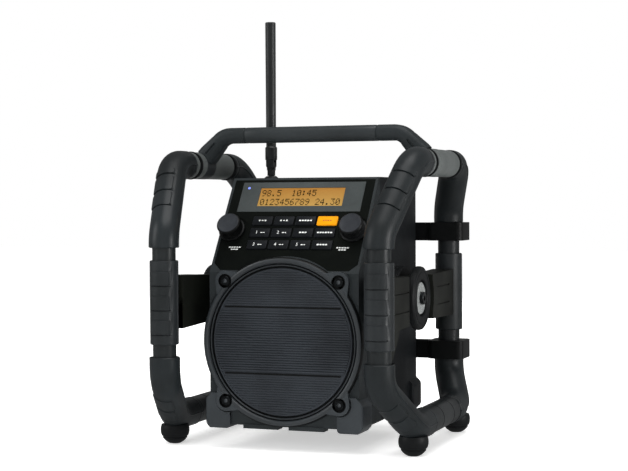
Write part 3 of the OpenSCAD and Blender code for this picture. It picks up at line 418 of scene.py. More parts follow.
# Overmoulded elastomer: soft, matte, with a dusty sheen at grazing angles.
SLEEVE_TPE = grained("matte charcoal elastomer", "#16191a", "#202426", 0.4, 1.2, 0.06, scuff=0.1,
                     Specular_IOR_Level=0.3)
GRIP_TPE = grained("ribbed charcoal elastomer", "#1a1d1e", "#26292b", 0.4, 1.2, 0.06, scuff=0.1,
                   Specular_IOR_Level=0.3)
HANDLE_TPE = grained("satin elastomer of the handle", "#202425", "#2d3133", 0.38, 1.2, 0.05, scuff=0.1,
                     Specular_IOR_Level=0.36)
# Solid rubber: near black, dull, a little greyer where it is rubbed.
BLACK_EPDM = grained("black EPDM rubber", "#0c0d0e", "#151718", 0.5, 1.4, 0.05, Specular_IOR_Level=0.2)
# Powder coated aluminium tube: a fine orange peel of about 1.5 mm and a soft sheen.
TUBE_COAT = grained("powder coated grey tube", "#191b1c", "#232627", 0.36, 1.6, 0.07, scuff=0.12,
                    Specular_IOR_Level=0.26)
# The top rails' bands and the handle's clamps: a grey nylon, its light tone partly its own and partly painted
# light, for the lit tops of the rails and the white backdrop mirrored along them.
BAND_NYLON_PAINTED_LIGHT = grained("grey nylon band with painted light", "#4d5150", "#5a5e5d", 0.4, 1.5, 0.05, scuff=0.12,
                     Specular_IOR_Level=0.3)
# Arms: dyed nylon, a hint of olive beside the cooler case.
ARM_NYLON = grained("olive charcoal nylon", "#10110f", "#191b17", 0.46, 1.5, 0.06, scuff=0.12,
                    Specular_IOR_Level=0.16)
# Louvred sheet, sprayed dark slate: fine spatter, low gloss.
GRILLE_PAINT = grained("slate sprayed steel", "#24272b", "#303439", 0.42, 1.1, 0.05,
                       Specular_IOR_Level=0.25)
# Keys: polished caps, dull at their edges, one dyed through in amber. The knobs' faces are matte.
KEY_CAP = grained("satin charcoal key plastic", "#0e1012", "#15171a", 0.34, 1.3, 0.02, drift=15,
                  Specular_IOR_Level=0.13)
AMBER_CAP = grained("amber key plastic", "#dd8a06", "#e6970e", 0.4, 1.3, 0.02, drift=15, spread=0.05,
                    Specular_IOR_Level=0.08)
KNOB_CAP = grained("matte knob plastic", "#25272b", "#2e3135", 0.5, 1.2, 0.04, drift=20,
                   Specular_IOR_Level=0.2)
# Screws: blackened steel with a dark shine, and a pale grey painted into the sockets of the ring's screws as
# a glint.
BLACK_OXIDE = grained("black oxide steel", "#1b1d1e", "#2b2e30", 0.32, 1.0, 0.02, drift=8, Metallic=0.85)
SOCKET_GLINT_PAINT = grained("steel socket with painted glint", "#7a7f84", "#9ba0a4", 0.3, 1.0, 0.02, drift=8, Metallic=0.9)
# Inside: bright turned shafts, a dull pressed basket, and a magnet as grey and dry as a stone.
SHAFT_STEEL = grained("turned steel", "#a2a5a8", "#c2c5c8", 0.26, 1.0, 0.02, drift=9, Metallic=1.0)
BASKET_STEEL = grained("stamped grey steel", "#4a4d50", "#626669", 0.42, 1.6, 0.03, Metallic=0.7)
FERRITE = grained("sintered ferrite", "#1f2022", "#303234", 0.6, 1.5, 0.06)
# Felted paper: dry and fibrous, with no shine.
CONE_PAPER = grained("pressed paper cone", "#191a1c", "#26282b", 0.8, 2.2, 0.12)
# Moulded silicone lets a little light in, which softens its shadows.
MAT_SILICONE = grained("grey silicone rubber", "#53565a", "#64686c", 0.5, 1.5, 0.03, Subsurface_Weight=0.05)
# Dipped rubber: a black skin with a faint bloom at its edges.
ANTENNA_RUBBER = grained("dipped antenna rubber", "#0d0f10", "#16191a", 0.42, 1.2, 0.04, Sheen_Weight=0.08)
# Moulded PBT: hard and black, a shade glossier than the nylon.
JACK_PLASTIC = grained("black PBT", "#111213", "#1c1e1f", 0.38, 1.4, 0.03)
# Pad printing: dense off-white ink, slightly raised.
PRINT_INK = grained("off-white pad print ink", "#cfd2d0", "#e3e5e2", 0.5, 0.9, 0.01, drift=6)
# On the amber key the same bars are burnt orange, so that they show without shouting
DARK_INK = grained("burnt orange pad print ink", "#a85a08", "#b9680e", 0.5, 0.9, 0.01, drift=6)


def turned_zinc():
    """Zinc plated steel, turned: bright, cool grey, with rings from the tool and a faint bloom."""
    tool_step, bloom_patch = 0.785, 5.56  # millimetres
    made, tree, shader = material("zinc plated steel", Metallic=0.6)
    place = add(tree, "TexCoord").outputs["Object"]
    centred = add(tree, "Mapping", {"Vector": place, "Location": (0.0, 0.0, -HUB_Z * MM),
                                    "Scale": (0.0, 1.0, 1.0)})
    # A wave of scale 1 repeats every tenth of pi
    rings = add(tree, "TexWave", {"Vector": centred.outputs["Vector"],
                                  "Scale": math.pi / 10 / (tool_step * MM), "Distortion": 0.6},
                wave_type="RINGS", rings_direction="SPHERICAL")
    bloom = add(tree, "TexNoise", {"Vector": place, "Scale": 1000 / bloom_patch, "Detail": 3.0})
    colour = add(tree, "Mix", {0: bloom.outputs["Fac"], 6: srgb("#a2a6a6"), 7: srgb("#cfd3d1")},
                 data_type="RGBA")
    gloss = add(tree, "MapRange", {"Value": rings.outputs["Fac"], "To Min": 0.22, "To Max": 0.4})
    tree.links.new(colour.outputs[2], shader.inputs["Base Color"])
    tree.links.new(gloss.outputs["Result"], shader.inputs["Roughness"])
    return made


def lit_display():
    """Backlit liquid crystal: amber, brighter low down where the lamps are, with a fine grid of undriven
    dots."""
    low_edge, high_edge = 86.4, 110.7  # up the panel, in millimetres
    cloud_size, dot_step = 45.5, 1.0  # millimetres
    made, tree, shader = material("amber backlit LCD", Roughness=0.4, Emission_Strength=0.1,
                                  Specular_IOR_Level=0.05)
    place = add(tree, "TexCoord").outputs["Object"]
    flat = add(tree, "Mapping", {"Vector": place,
                                 "Rotation": (PANEL_LEAN - math.pi / 2, 0, 0)}).outputs["Vector"]
    height = add(tree, "SeparateXYZ", {"Vector": place}).outputs["Z"]
    foot, top = [(PANEL_FOOT + edge * math.cos(PANEL_LEAN)) * MM for edge in (low_edge, high_edge)]
    rise = add(tree, "MapRange", {"Value": height, "From Min": foot, "From Max": top})
    cloud = add(tree, "TexNoise", {"Vector": flat, "Scale": 1000 / cloud_size, "Detail": 2.0})
    share = add(tree, "Mix", {0: 0.25, 2: rise.outputs["Result"], 3: cloud.outputs["Fac"]})
    glow = add(tree, "Mix", {0: share.outputs[0], 6: srgb("#a38347"), 7: srgb("#8d5f28")}, data_type="RGBA")
    dots = add(tree, "TexVoronoi", {"Vector": flat, "Scale": 1000 / dot_step, "Randomness": 0.0},
               feature="F1", distance="CHEBYCHEV")
    dark = add(tree, "MapRange", {"Value": dots.outputs["Distance"], "From Min": 0.38, "From Max": 0.5,
                                  "To Min": 0.0, "To Max": 0.18})
    face = add(tree, "Mix", {0: dark.outputs["Result"], 6: glow.outputs[2], 7: srgb("#6e4c1c")},
               data_type="RGBA")
    tree.links.new(face.outputs[2], shader.inputs["Base Color"])
    tree.links.new(face.outputs[2], shader.inputs["Emission Color"])
    return made


def circuit_board():
    """Glass epoxy board under green solder mask: copper tracks show as lighter green lines."""
    track_step, track_height = 3.03, 0.06  # millimetres
    made, tree, shader = material("green solder mask", Roughness=0.32, Coat_Weight=0.3)
    place = add(tree, "TexCoord").outputs["Object"]
    cells = add(tree, "TexVoronoi", {"Vector": place, "Scale": 1000 / track_step, "Randomness": 0.35},
                feature="F1", distance="CHEBYCHEV")
    track = add(tree, "MapRange", {"Value": cells.outputs["Distance"], "From Min": 0.36, "From Max": 0.46})
    colour = add(tree, "Mix", {0: track.outputs["Result"], 6: srgb("#12502c"), 7: srgb("#2c8a4c")},
                 data_type="RGBA")
    bump = add(tree, "Bump", {"Height": track.outputs["Result"], "Distance": track_height * MM})
    tree.links.new(colour.outputs[2], shader.inputs["Base Color"])
    tree.links.new(bump.outputs["Normal"], shader.inputs["Normal"])
    return made


def cell_wrap():
    """Shrink film on the cells: ochre with a dark lower band, glossy, with shallow wrinkles."""
    cell_length, band_from, wrinkle_size, wrinkle_height = 61.6, 38.0, 3.85, 0.12  # millimetres
    made, tree, shader = material("ochre shrink film", Roughness=0.28)
    place = add(tree, "TexCoord").outputs["Object"]
    height = add(tree, "SeparateXYZ", {"Vector": place}).outputs["Z"]
    along = add(tree, "Math", {0: height, 1: cell_length * MM}, operation="PINGPONG")
    band = add(tree, "MapRange", {"Value": along.outputs[0], "From Min": band_from * MM,
                                  "From Max": (band_from + 0.2) * MM})
    wrinkle = add(tree, "TexNoise", {"Vector": place, "Scale": 1000 / wrinkle_size, "Detail": 3.0})
    ochre = add(tree, "Mix", {0: wrinkle.outputs["Fac"], 6: srgb("#a98f2c"), 7: srgb("#cbb04a")},
                data_type="RGBA")
    colour = add(tree, "Mix", {0: band.outputs["Result"], 6: ochre.outputs[2], 7: srgb("#26282a")},
                 data_type="RGBA")
    bump = add(tree, "Bump", {"Height": wrinkle.outputs["Fac"], "Distance": wrinkle_height * MM})
    tree.links.new(colour.outputs[2], shader.inputs["Base Color"])
    tree.links.new(bump.outputs["Normal"], shader.inputs["Normal"])
    return made


def lamp(name, code, strength):
    """A small indicator lens, lit from behind, with paler clouds in it."""
    cloud_size = 1.43  # millimetres
    made, tree, shader = material(name, Roughness=0.2, Emission_Strength=strength)
    place = add(tree, "TexCoord").outputs["Object"]
    cloud = add(tree, "TexNoise", {"Vector": place, "Scale": 1000 / cloud_size, "Detail": 1.0})
    colour = add(tree, "Mix", {0: cloud.outputs["Fac"], 6: srgb(code), 7: srgb("#8ea2ff")}, data_type="RGBA")
    tree.links.new(colour.outputs[2], shader.inputs["Base Color"])
    tree.links.new(colour.outputs[2], shader.inputs["Emission Color"])
    return made


ZINC = turned_zinc()
LCD_GLOW = lit_display()
BOARD_MASK = circuit_board()
CELL_FILM = cell_wrap()
BLUE_LAMP = lamp("blue indicator lens", "#4258d8", 0.5)
# Driven dots of the display: warm brown-black, seen through the amber
LCD_INK = grained("driven LCD dots", "#120a04", "#1c1106", 0.5, 1.2, 0.005, drift=10, Specular_IOR_Level=0.05)


def dress(piece, finish, body="root", nodes=()):
    """Gives a piece its material and its body, and hides the CAD nodes that it stands for."""
    if not piece.data.materials:
        piece.data.materials.append(finish)
    else:
        piece.data.materials[0] = finish
    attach(piece, body)
    if nodes:
        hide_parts(*nodes)
    return piece


def second_finish(piece, finish, test):
    """Gives the faces that pass the test a second material on the same piece."""
    piece.data.materials.append(finish)
    for face in piece.data.polygons:
        if test(face.center / MM, face.normal):
            face.material_index = len(piece.data.materials) - 1


# ---------------------------------------------------------------- cage

def hoop():
    """One side's loop of tube. Its ends meet under the rail's band, so they are capped there."""
    start = at(CORNER_X, 30, TOP_Z)
    points = [start,
              at(CORNER_X, FRONT_CORNER_Y, TOP_Z), at(UPRIGHT_X, FRONT_Y, TOP_Z - TOP_FRONT_DROP),
              at(UPRIGHT_X, FRONT_Y, LOW_Z + LOW_FRONT_RISE), at(CORNER_X, FRONT_CORNER_Y, LOW_Z),
              at(CORNER_X, REAR_CORNER_Y, LOW_Z), at(UPRIGHT_X, REAR_Y, LOW_Z + LOW_REAR_RISE),
              at(UPRIGHT_X, REAR_Y, TOP_Z - TOP_REAR_DROP), at(CORNER_X, REAR_CORNER_Y, TOP_Z),
              start]
    corner, upright = 35 * MM, 30 * MM
    bends = [0] + 2 * [corner, upright, upright, corner] + [0]
    piece = primitive("circle", "hoop", vertices=48, radius=TUBE_R * MM, fill_type="NGON", location=start,
                      rotation=(math.pi / 2, 0, 0))
    edit(piece)
    swept(points, bends)
    leave()
    return piece


def sleeve(name, corner, bend, rail_end, cuff_end, pads, rail_grooves=()):
    """Rubber sleeve over one corner: along the rail, round the corner, down or up the slant and on to the
    upright. pads are the starts and ends, along the slant from the corner, of the flat ribs on the side that
    faces out. Each stands proud, with a line under its lower edge. A fin down each side is where the halves
    of its mould met."""
    body_r, fin, proud, line_depth = 16.0, 1.0, 0.9, 1.1
    corner_bend, upright_bend = 36 * MM, 31 * MM
    corner, bend = at(*corner), at(*bend)
    start, end = Vector((corner.x, rail_end * MM, corner.z)), Vector((bend.x, bend.y, cuff_end * MM))
    piece = open_ring(name, body_r, start, rotation=(math.pi / 2, 0, 0))
    edit(piece)
    choose_level("Z", start.z)
    stretch(((body_r + fin) / body_r, 1, 1), start)
    bpy.ops.mesh.select_all(action="SELECT")
    slope = (bend - corner).normalized()
    along = Vector((0, 1, 0)) * math.copysign(1, corner.y - start.y)
    # The lower edge is the far one on a slant that falls from its corner
    falls = slope.z < 0
    lines = [(1, b + 0.65 if falls else a - 0.65, line_depth) for a, b in pads]
    lines += [(0, (corner - start).length / MM - g, 0.8) for g in rail_grooves]
    stations = [(1, s * MM) for a, b in pads
                for s in (a - 0.15, a + 0.15, a + 1.4, b - 1.4, b - 0.15, b + 0.15)]
    stations += [(k, (s + shift) * MM) for k, s, _ in lines for shift in (-0.45, 0.45, 0.8)]
    stations += [(0, s * MM) for s in (0.8, 6.0, 6.4, 7.2, 7.6)] + [(2, (end - bend).length - 0.8 * MM)]
    swept([start, corner, bend, end], [0, corner_bend, upright_bend, 0], stations, steps=9)
    grow((body_r - 0.9) / body_r, end)
    choose_level("Y", start.y)
    grow((body_r - 0.9) / body_r, start)
    bpy.ops.mesh.select_all(action="SELECT")
    bpy.ops.mesh.normals_make_consistent(inside=False)
    # The pads face away from the radio's middle and a little outwards
    out = Vector((0.35, math.copysign(1, bend.y), math.copysign(1, corner.z - bend.z)))

    def facing_out(p, origin, way, low, high, reach):
        """True for a point from low to high along the way, within reach degrees of the side facing out."""
        d = (p - origin).dot(way)
        spoke = p - origin - d * way
        facing = (out - out.dot(way) * way).normalized()
        return low < d / MM < high and spoke.length < 20 * MM and spoke.angle(facing) < math.radians(reach)

    for a, b in pads:
        choose(lambda p: facing_out(p, corner, slope, a + 1, b - 1, 53)
               and not facing_out(p, corner, slope, a + 1, b - 1, 47))
        swell(-0.5)
    for k, s, deep in lines:
        origin, way = (corner, slope) if k == 1 else (start, along)
        choose(lambda p: facing_out(p, origin, way, s - 0.5, s + 0.5, 48))
        swell(-deep)
    for a, b in pads:
        choose(lambda p: facing_out(p, corner, slope, a, b, 43)
               or facing_out(p, corner, slope, a + 1, b - 1, 47))
        swell(proud)
    # A shallow line right round, close to the rail end
    choose(lambda p: 6.2 < (p - start).dot(along) / MM < 7.4 and abs(p.z - start.z) < 20 * MM)
    swell(-0.5)
    leave()
    return piece


def walled(piece, name, wall):
    """Both sides' copies of an open tube, each with its wall, joined."""
    twin = copied(piece, name + "_twin", Matrix.Scale(-1, 4, (1, 0, 0)))
    for side in (piece, twin):
        face_outwards(side)
        apply(side, "SOLIDIFY", thickness=wall * MM, offset=-1.0)
    return joined([piece, twin], name)


def grip(y, padded_front):
    """Rubber grip on an upright. With padded_front set, three pads are raised on the side that faces the
    user, each with a line under it and a plain step above. A fin down each side is where the halves of its
    mould met."""
    low, high, body_r, fin, pad_half_width = 115.5, 204.887, 15.3, 1.0, 11.5
    height = high - low
    centre = at(UPRIGHT_X, y, low)
    piece = open_ring("grip", body_r, centre)
    edit(piece)
    choose_level("Y", centre.y)
    stretch(((body_r + fin) / body_r, 1, 1), centre)
    bpy.ops.mesh.select_all(action="SELECT")
    middles = [HUB_Z + i * height * 0.29 for i in (-1, 0, 1)]
    pads = [(middle - height / 12, middle + height / 12) for middle in middles]
    stops = [low + 0.8]
    for a, b in pads:
        stops += [a - 1.3, a - 0.95, a - 0.15, a + 0.15, b - 0.15, b + 0.15]
    here = low
    for stop in stops + [high - 0.8, high]:
        go((0, 0, (stop - here) * MM))
        here = stop
    for end in (low, high):
        choose_level("Z", end * MM)
        grow((body_r - 0.9) / body_r, at(UPRIGHT_X, y, end))
    for a, b in pads if padded_front else ():
        # The pad, the line under it, and the sides of the pad
        for low_z, high_z, from_x, to_x, forward in ((a, b, 0, pad_half_width, 0.95),
                                                     (a - 1.1, a, 0, pad_half_width + 0.4, -1.2),
                                                     (a, b, pad_half_width, pad_half_width + 1.5, -0.4)):
            choose(lambda p: low_z * MM < p.z < high_z * MM and p.y < centre.y
                   and from_x * MM <= abs(p.x - centre.x) < to_x * MM)
            move((0, -forward * MM, 0))
    leave()
    return piece


def on_rail(name, profile, z):
    """A turned ring round the rail at this height."""
    return turned(name, profile, (0, 1, 0), (CORNER_X, 0, z), sides=64, closed=True)


def band(name, y0, y1, z, splits=()):
    """Nylon cover on a rail between two sleeves, with shallow grooves where it is split."""
    r = 15.2
    profile = [(TUBE_R - 0.1, y0), (r - 0.6, y0), (r, y0 + 0.6)]
    for s in splits:
        profile += [(r, s - 1.4), (r - 1.2, s - 0.9), (r - 1.2, s + 0.9), (r, s + 1.4)]
    profile += [(r, y1 - 0.6), (r - 0.6, y1), (TUBE_R - 0.1, y1)]
    return on_rail(name, profile, z)


def cuff_ring(y):
    """A ring in the gap between a band and what is in front of it, with a collar at its rear end. It is
    dressed black, which paints the shade in the gap.
    """
    return on_rail("cuff_ring", [(TUBE_R - 0.1, y - 3.4), (13.0, y - 3.4), (13.0, y + 1.4), (15.6, y + 1.4),
                                 (15.9, y + 1.7), (15.9, y + 3.1), (15.6, y + 3.4), (TUBE_R - 0.1, y + 3.4)],
                   TOP_Z)


tube = hoop()
left_tube = mirrored(tube, "left_hoop")
tube.name = tube.data.name = "right_hoop"
for piece, node in ((tube, "frame_tube_right"), (left_tube, "frame_tube_left")):
    face_outwards(piece)
    smooth(piece)
    dress(piece, TUBE_COAT, nodes=[node])

for corner, corner_y, upright_y, corner_z, bend_z, rail_end, cuff_end, pads, rail_grooves in (
        ("top_front", FRONT_CORNER_Y, FRONT_Y, TOP_Z, TOP_Z - TOP_FRONT_DROP, -45, 218.387,
         ((18.2, 25.4), (29.6, 48.3), (52.5, 69.5)), ()),
        ("bottom_front", FRONT_CORNER_Y, FRONT_Y, LOW_Z, LOW_Z + LOW_FRONT_RISE, -34, 102,
         ((18.5, 36.8), (41.0, 60.0)), (16.0,)),
        ("top_rear", REAR_CORNER_Y, REAR_Y, TOP_Z, TOP_Z - TOP_REAR_DROP, 68.1, 240.987,
         ((20.2, 27.0), (31.2, 42.0), (46.2, 52.0)), ()),
        ("bottom_rear", REAR_CORNER_Y, REAR_Y, LOW_Z, LOW_Z + LOW_REAR_RISE, 62, 82, ((25.0, 38.5),), ())):
    name = corner + "_sleeves"
    piece = walled(sleeve(name, (CORNER_X, corner_y, corner_z), (UPRIGHT_X, upright_y, bend_z), rail_end,
                          cuff_end, pads, rail_grooves), name, 3.6)
    smooth(piece, 26)
    dress(piece, SLEEVE_TPE, nodes=[corner + "_elbows"])

for end, y in (("front", FRONT_Y), ("rear", REAR_Y)):
    piece = walled(grip(y, y < 0), end + "_upright_grips", 2.6)
    smooth(piece, 28)
    dress(piece, GRIP_TPE, nodes=[end + "_grips"])

for name, y0, y1, z, splits in (("top_rail_bands", -29.0, 61.1, TOP_Z, ()),
                                ("top_rail_collars", -46.0, -36.0, TOP_Z, ()),
                                ("bottom_rail_bands", -32.4, 60.4, LOW_Z, (-8.0, 34.0))):
    piece = both_sides(band(name, y0, y1, z, splits), name)
    smooth(piece)
    # The top rails' bands carry painted light; the bottom ones keep the tube's dark coat
    dress(piece, BAND_NYLON_PAINTED_LIGHT if z == TOP_Z else TUBE_COAT)

rings = both_sides(joined([cuff_ring(y) for y in (-32.5, 64.6)], "rail_cuff_rings"), "rail_cuff_rings")
smooth(rings)
# Its black paints the shade in the gaps beside the bands
dress(rings, BLACK_EPDM)


def foot(y):
    """Half-round rubber foot, flat below and above, with a small tread groove, under a corner sleeve."""
    r, centre, floor, top = 16.0, 15.0, 0.0, 21.0
    groove_edges = (6.4, 7.1, 8.3, 9.0)
    piece = primitive("uv_sphere", "foot", segments=56, ring_count=34, radius=r * MM,
                      location=at(CORNER_X, y, centre))
    edit(piece)
    for height in (floor, top) + groove_edges:
        bpy.ops.mesh.select_all(action="SELECT")
        bpy.ops.mesh.bisect(plane_co=at(0, 0, height), plane_no=(0, 0, 1), use_fill=height in (floor, top),
                            clear_inner=height == floor, clear_outer=height == top)
    choose(lambda p: 7.0 * MM < p.z < 8.4 * MM)
    stretch((0.95, 0.95, 1), at(CORNER_X, y, 7.7))
    leave()
    return piece


feet = both_sides(joined([foot(FRONT_CORNER_Y), foot(REAR_CORNER_Y)], "foot_pair"), "rubber_feet")
face_outwards(feet)
smooth(feet)
dress(feet, BLACK_EPDM, nodes=["feet"])


# ---------------------------------------------------------------- handle

# Its middle line, its thickness and depth, the radius of its edges, half the rubber's length, and where it
# bends down
HANDLE_Y, HANDLE_Z = -4.0, 341.687
HANDLE_T, HANDLE_D, HANDLE_CORNER = 17.6, 24.0, 7.4
GRIP_HALF, HANDLE_BEND_X = 78.0, 105.485


def handle_ring(name, x, thick, deep, corner):
    """The handle's cross section as an open ring, standing across X."""
    piece = rounded_plate(name, thick, deep, corner, steps=7)
    edit(piece)
    bpy.ops.mesh.delete(type="ONLY_FACE")
    leave()
    piece.data.transform(Matrix.Translation(at(x, HANDLE_Y, HANDLE_Z)) @ Matrix.Rotation(math.pi / 2, 4, "Y"))
    return piece


def cap_at(x):
    """In edit mode, closes the open end at this X, in metres."""
    choose_level("X", x)
    bpy.ops.mesh.edge_face_add()


def handle_leg():
    """Half of the bar, from the grip's end over the bend and down to the clamp on the rail."""
    from_x = GRIP_HALF + 0.1
    piece = handle_ring("handle_leg", from_x, HANDLE_T, HANDLE_D, HANDLE_CORNER)
    start, bend = at(from_x, HANDLE_Y, HANDLE_Z), at(HANDLE_BEND_X, HANDLE_Y, HANDLE_Z)
    rail = at(CORNER_X, HANDLE_Y, TOP_Z)
    down = (rail - bend).normalized()
    length = (rail - bend).length
    end = rail - down * 13 * MM
    groove_from, groove_to = 12 * MM, length - 18 * MM
    edit(piece)
    # A mid line on the front and back faces, to take the legs' groove
    choose(lambda a, b: abs(a.y - b.y) < 1e-6 and abs(abs(a.y - start.y) - HANDLE_D / 2 * MM) < 1e-5, "EDGE")
    bpy.ops.mesh.subdivide(number_cuts=3)
    bpy.ops.mesh.select_all(action="SELECT")
    stations = [(0, 1.2 * MM), (0, 2.2 * MM)]
    stations += [(1, edge + side * MM / 2) for edge in (groove_from, groove_to) for side in (-1, 1)]
    swept([start, bend, end], [0, 20 * MM, 0], stations, steps=10)
    bpy.ops.mesh.edge_face_add()
    cap_at(start.x)
    grow(0.93, start)
    normal = Vector((down.z, 0, -down.x))
    for side in (-1, 1):
        choose(lambda p: (p.y - start.y) * side > (HANDLE_D / 2 - 0.1) * MM
               and abs((p - bend).dot(normal)) < 0.8 * MM and groove_from < (p - bend).dot(down) < groove_to)
        move((0, -1.5 * side * MM, 0))
        # The leg flares towards its clamp, by this many millimetres on each side
        for from_bend, wider in ((9.5, 0.6), (20, 1.8)):
            choose(lambda p: (p - bend).dot(down) > from_bend * MM
                   and (p - bend).dot(normal) * side > 1.5 * MM)
            move(normal * wider * side * MM)
    leave()
    clamp = turned("clamp", [(12.7, -12), (14.9, -12), (15.4, -11.5), (15.4, 11.5), (14.9, 12), (12.7, 12)],
                   (0, 1, 0), (CORNER_X, HANDLE_Y, TOP_Z), sides=64, closed=True)
    face_outwards(piece)
    piece.data.materials.append(CHARCOAL_ABS)
    # The clamp's light grey is partly painted light, as on the rails' bands
    clamp.data.materials.append(BAND_NYLON_PAINTED_LIGHT)
    # Its saddle on the inner side is one with the leg
    second_finish(clamp, CHARCOAL_ABS, lambda c, n: c.x < CORNER_X + 4)
    return joined([piece, clamp], "handle_leg")


def handle_core():
    """The bar that runs through the grip."""
    half = GRIP_HALF + 1
    piece = handle_ring("handle_core", -half, HANDLE_T - 5, HANDLE_D - 5, 4.2)
    edit(piece)
    go(at(2 * half, 0, 0))
    for x in (-half, half):
        cap_at(x * MM)
    leave()
    face_outwards(piece)
    piece.data.materials.append(CHARCOAL_ABS)
    return piece


bar = joined([both_sides(handle_leg(), "handle_legs"), handle_core()], "carrying_handle")
smooth(bar)
dress(bar, CHARCOAL_ABS, nodes=["handle_bar"])

handle_rubber = handle_ring("handle_rubber", -GRIP_HALF, HANDLE_T, HANDLE_D, HANDLE_CORNER)
edit(handle_rubber)
here, lip = -GRIP_HALF, GRIP_HALF - 0.8
for x in (-lip, 2 - GRIP_HALF, -60.0, 60.0, GRIP_HALF - 2, lip, GRIP_HALF):
    go(at(x - here, 0, 0))
    here = x
for x, factor in ((-GRIP_HALF, 0.9), (GRIP_HALF, 0.9), (-lip, 0.97), (lip, 0.97)):
    choose_level("X", x * MM)
    grow(factor, at(x, HANDLE_Y, HANDLE_Z))
leave()
face_outwards(handle_rubber)
apply(handle_rubber, "SOLIDIFY", thickness=1.8 * MM, offset=-1.0)
smooth(handle_rubber)
dress(handle_rubber, HANDLE_TPE, nodes=["handle_grip"])


# ---------------------------------------------------------------- hub, arms and brackets

def socket_screw(name, radius, height, flat, depth, chamfer=0.5):
    """Head of a socket screw, standing on Z = 0 with its hexagon socket on top."""
    piece = turned(name, [(radius - 0.1, 0), (radius, 0.3), (radius, height - chamfer),
                          (radius - chamfer, height)], sides=36)
    edit(piece)
    choose(lambda c, n: n.z > 0.9 and c.z > (height - 0.01) * MM, "FACE")
    bpy.ops.mesh.delete(type="ONLY_FACE")
    leave()
    socket = open_ring(name + "_socket", flat, (0, 0, height * MM), 6)
    piece = joined([piece, socket], name)
    edit(piece)
    choose(lambda p: p.z > (height - 0.01) * MM)
    bpy.ops.mesh.bridge_edge_loops()
    choose(lambda p: p.z > (height - 0.01) * MM and p.xy.length < (flat + 0.01) * MM)
    go((0, 0, -depth * MM))
    bpy.ops.mesh.edge_face_add()
    leave()
    face_outwards(piece)
    return piece


def on_hub(name, profile, sides=96, closed=True):
    """A turned piece of the right hub. Its heights are measured out from the middle of the radio."""
    return turned(name, profile, (1, 0, 0), (0, 0, HUB_Z), sides, closed)


WASHER_FACE = 124.5
# From the case to the arm, with a groove round it
inner_bush = on_hub("inner_bush", [
    (4.1, 95.05), (32.5, 95.05), (34.4, 95.6), (35, 97), (35, 99.4), (34.3, 100), (34.3, 101), (35, 101.6),
    (35, 104.6), (34, 105.95), (4.1, 105.95)])
# Outside the arm: a rounded rim, a line round the face, and a cup for the washer
outer_bush = on_hub("outer_bush", [
    (4.1, 118.05), (33.6, 118.05), (34.7, 118.8), (35, 120), (35, 123), (34.4, 124.8), (32.6, 126), (30, 126),
    (29.4, 125.5), (28.6, 125.5), (28, 126), (21, 126), (20.2, 125.4), (20, 124.6), (20, 123), (4.1, 123)])
washer = on_hub("washer", [(4.1, 123.02), (17.2, 123.02), (17.5, 123.3), (17.5, 124.2), (17.2, WASHER_FACE),
                           (4.1, WASHER_FACE)])
hub_screw = socket_screw("hub_screw", 7.0, 4.0, 3.3, 2.6)
hub_screw.data.transform(along_axis((1, 0, 0), (WASHER_FACE, 0, HUB_Z)))
shank = on_hub("hub_shank", [(3.9, 83.0), (4.0, 84.0), (4.0, WASHER_FACE + 0.1)], 32, False)
hub_screw = joined([hub_screw, shank], "hub_screw")
for piece, name, finish, slot, node in (
        (inner_bush, "inner_rubber_bushes", BLACK_EPDM, "bush_rubber", "inner_bushes"),
        (outer_bush, "outer_rubber_bushes", BLACK_EPDM, "bush_rubber", "outer_bushes"),
        (washer, "steel_washers", ZINC, "washer_zinc", "hub_washers"),
        (hub_screw, "hub_socket_screws", BLACK_OXIDE, "black_screws", "hub_screws")):
    piece = both_sides(piece, name)
    smooth(piece)
    dress(piece, finish, nodes=[node])

for side in ("right", "left"):
    arm = moulded("side_arm_" + side, side + "_side_arm", 1.3, segments=3)
    if side == "left":
        # It ends level under its front block
        edit(arm)
        bpy.ops.mesh.bisect(plane_co=at(0, 0, HUB_Z - ARM_HALF), plane_no=(0, 0, 1), use_fill=True,
                            clear_inner=True)
        leave()
    dress(arm, ARM_NYLON)
for level in ("upper", "lower"):
    dress(moulded(level + "_brackets", level + "_rear_brackets", 1.0, segments=3), BLACK_NYLON_AND_PAINTED_SHADE)
dress(moulded("bracket_screws", "bracket_socket_screws", 0.4), BLACK_OXIDE)


# ---------------------------------------------------------------- case

# Front bumpers: how high and how far back they reach, and their inner side
BUMPER_TOP, BUMPER_BACK, BUMPER_IN = 62, -60, 61


def bumper_corner(a, b):
    """True for the outer edges of the bumpers at the foot of the case."""
    ends = [p / MM for p in (a, b)]
    return all(abs(p.x) > CASE_SIDE - 0.5 and 22 < p.z < BUMPER_TOP for p in ends) and (
        all(p.y < CASE_FRONT - 2.9 for p in ends) or all(p.y > CASE_REAR + 1.9 for p in ends)
        or all(abs(p.x) > CASE_SIDE + 4.9 for p in ends) and (a - b).length > 10 * MM)


def bumper_foot(a, b):
    """True for the lower inner edges of the front bumpers."""
    ends = [p / MM for p in (a, b)]
    return all(abs(abs(p.x) - BUMPER_IN) < 0.1 and p.z < 23.1 and p.y < BUMPER_BACK for p in ends)


def back_edge(a, b):
    """True for the edges round the back of the case, at its top and its sides."""
    ends = [p / MM for p in (a, b)]
    return all(abs(p.y - CASE_REAR) < 0.05 for p in ends) and (
        all(p.z > CASE_TOP - 0.05 for p in ends) or all(abs(p.x) > CASE_SIDE - 0.05 for p in ends))


front = dress(moulded("front_shell", "front_case_half", 0.8, soft=[(bumper_corner, 3.5), (bumper_foot, 4.5)]),
              CHARCOAL_ABS)
second_finish(front, BUMPER_NYLON,
              lambda c, n: c.z < BUMPER_TOP and abs(c.x) > BUMPER_IN - 0.1 and c.y < BUMPER_BACK)
rear = moulded("rear_shell", "rear_case_half", 0.8, soft=[(back_edge, 4.0), (bumper_corner, 3.0)],
               clamped=False)
dress(rear, REAR_ABS)

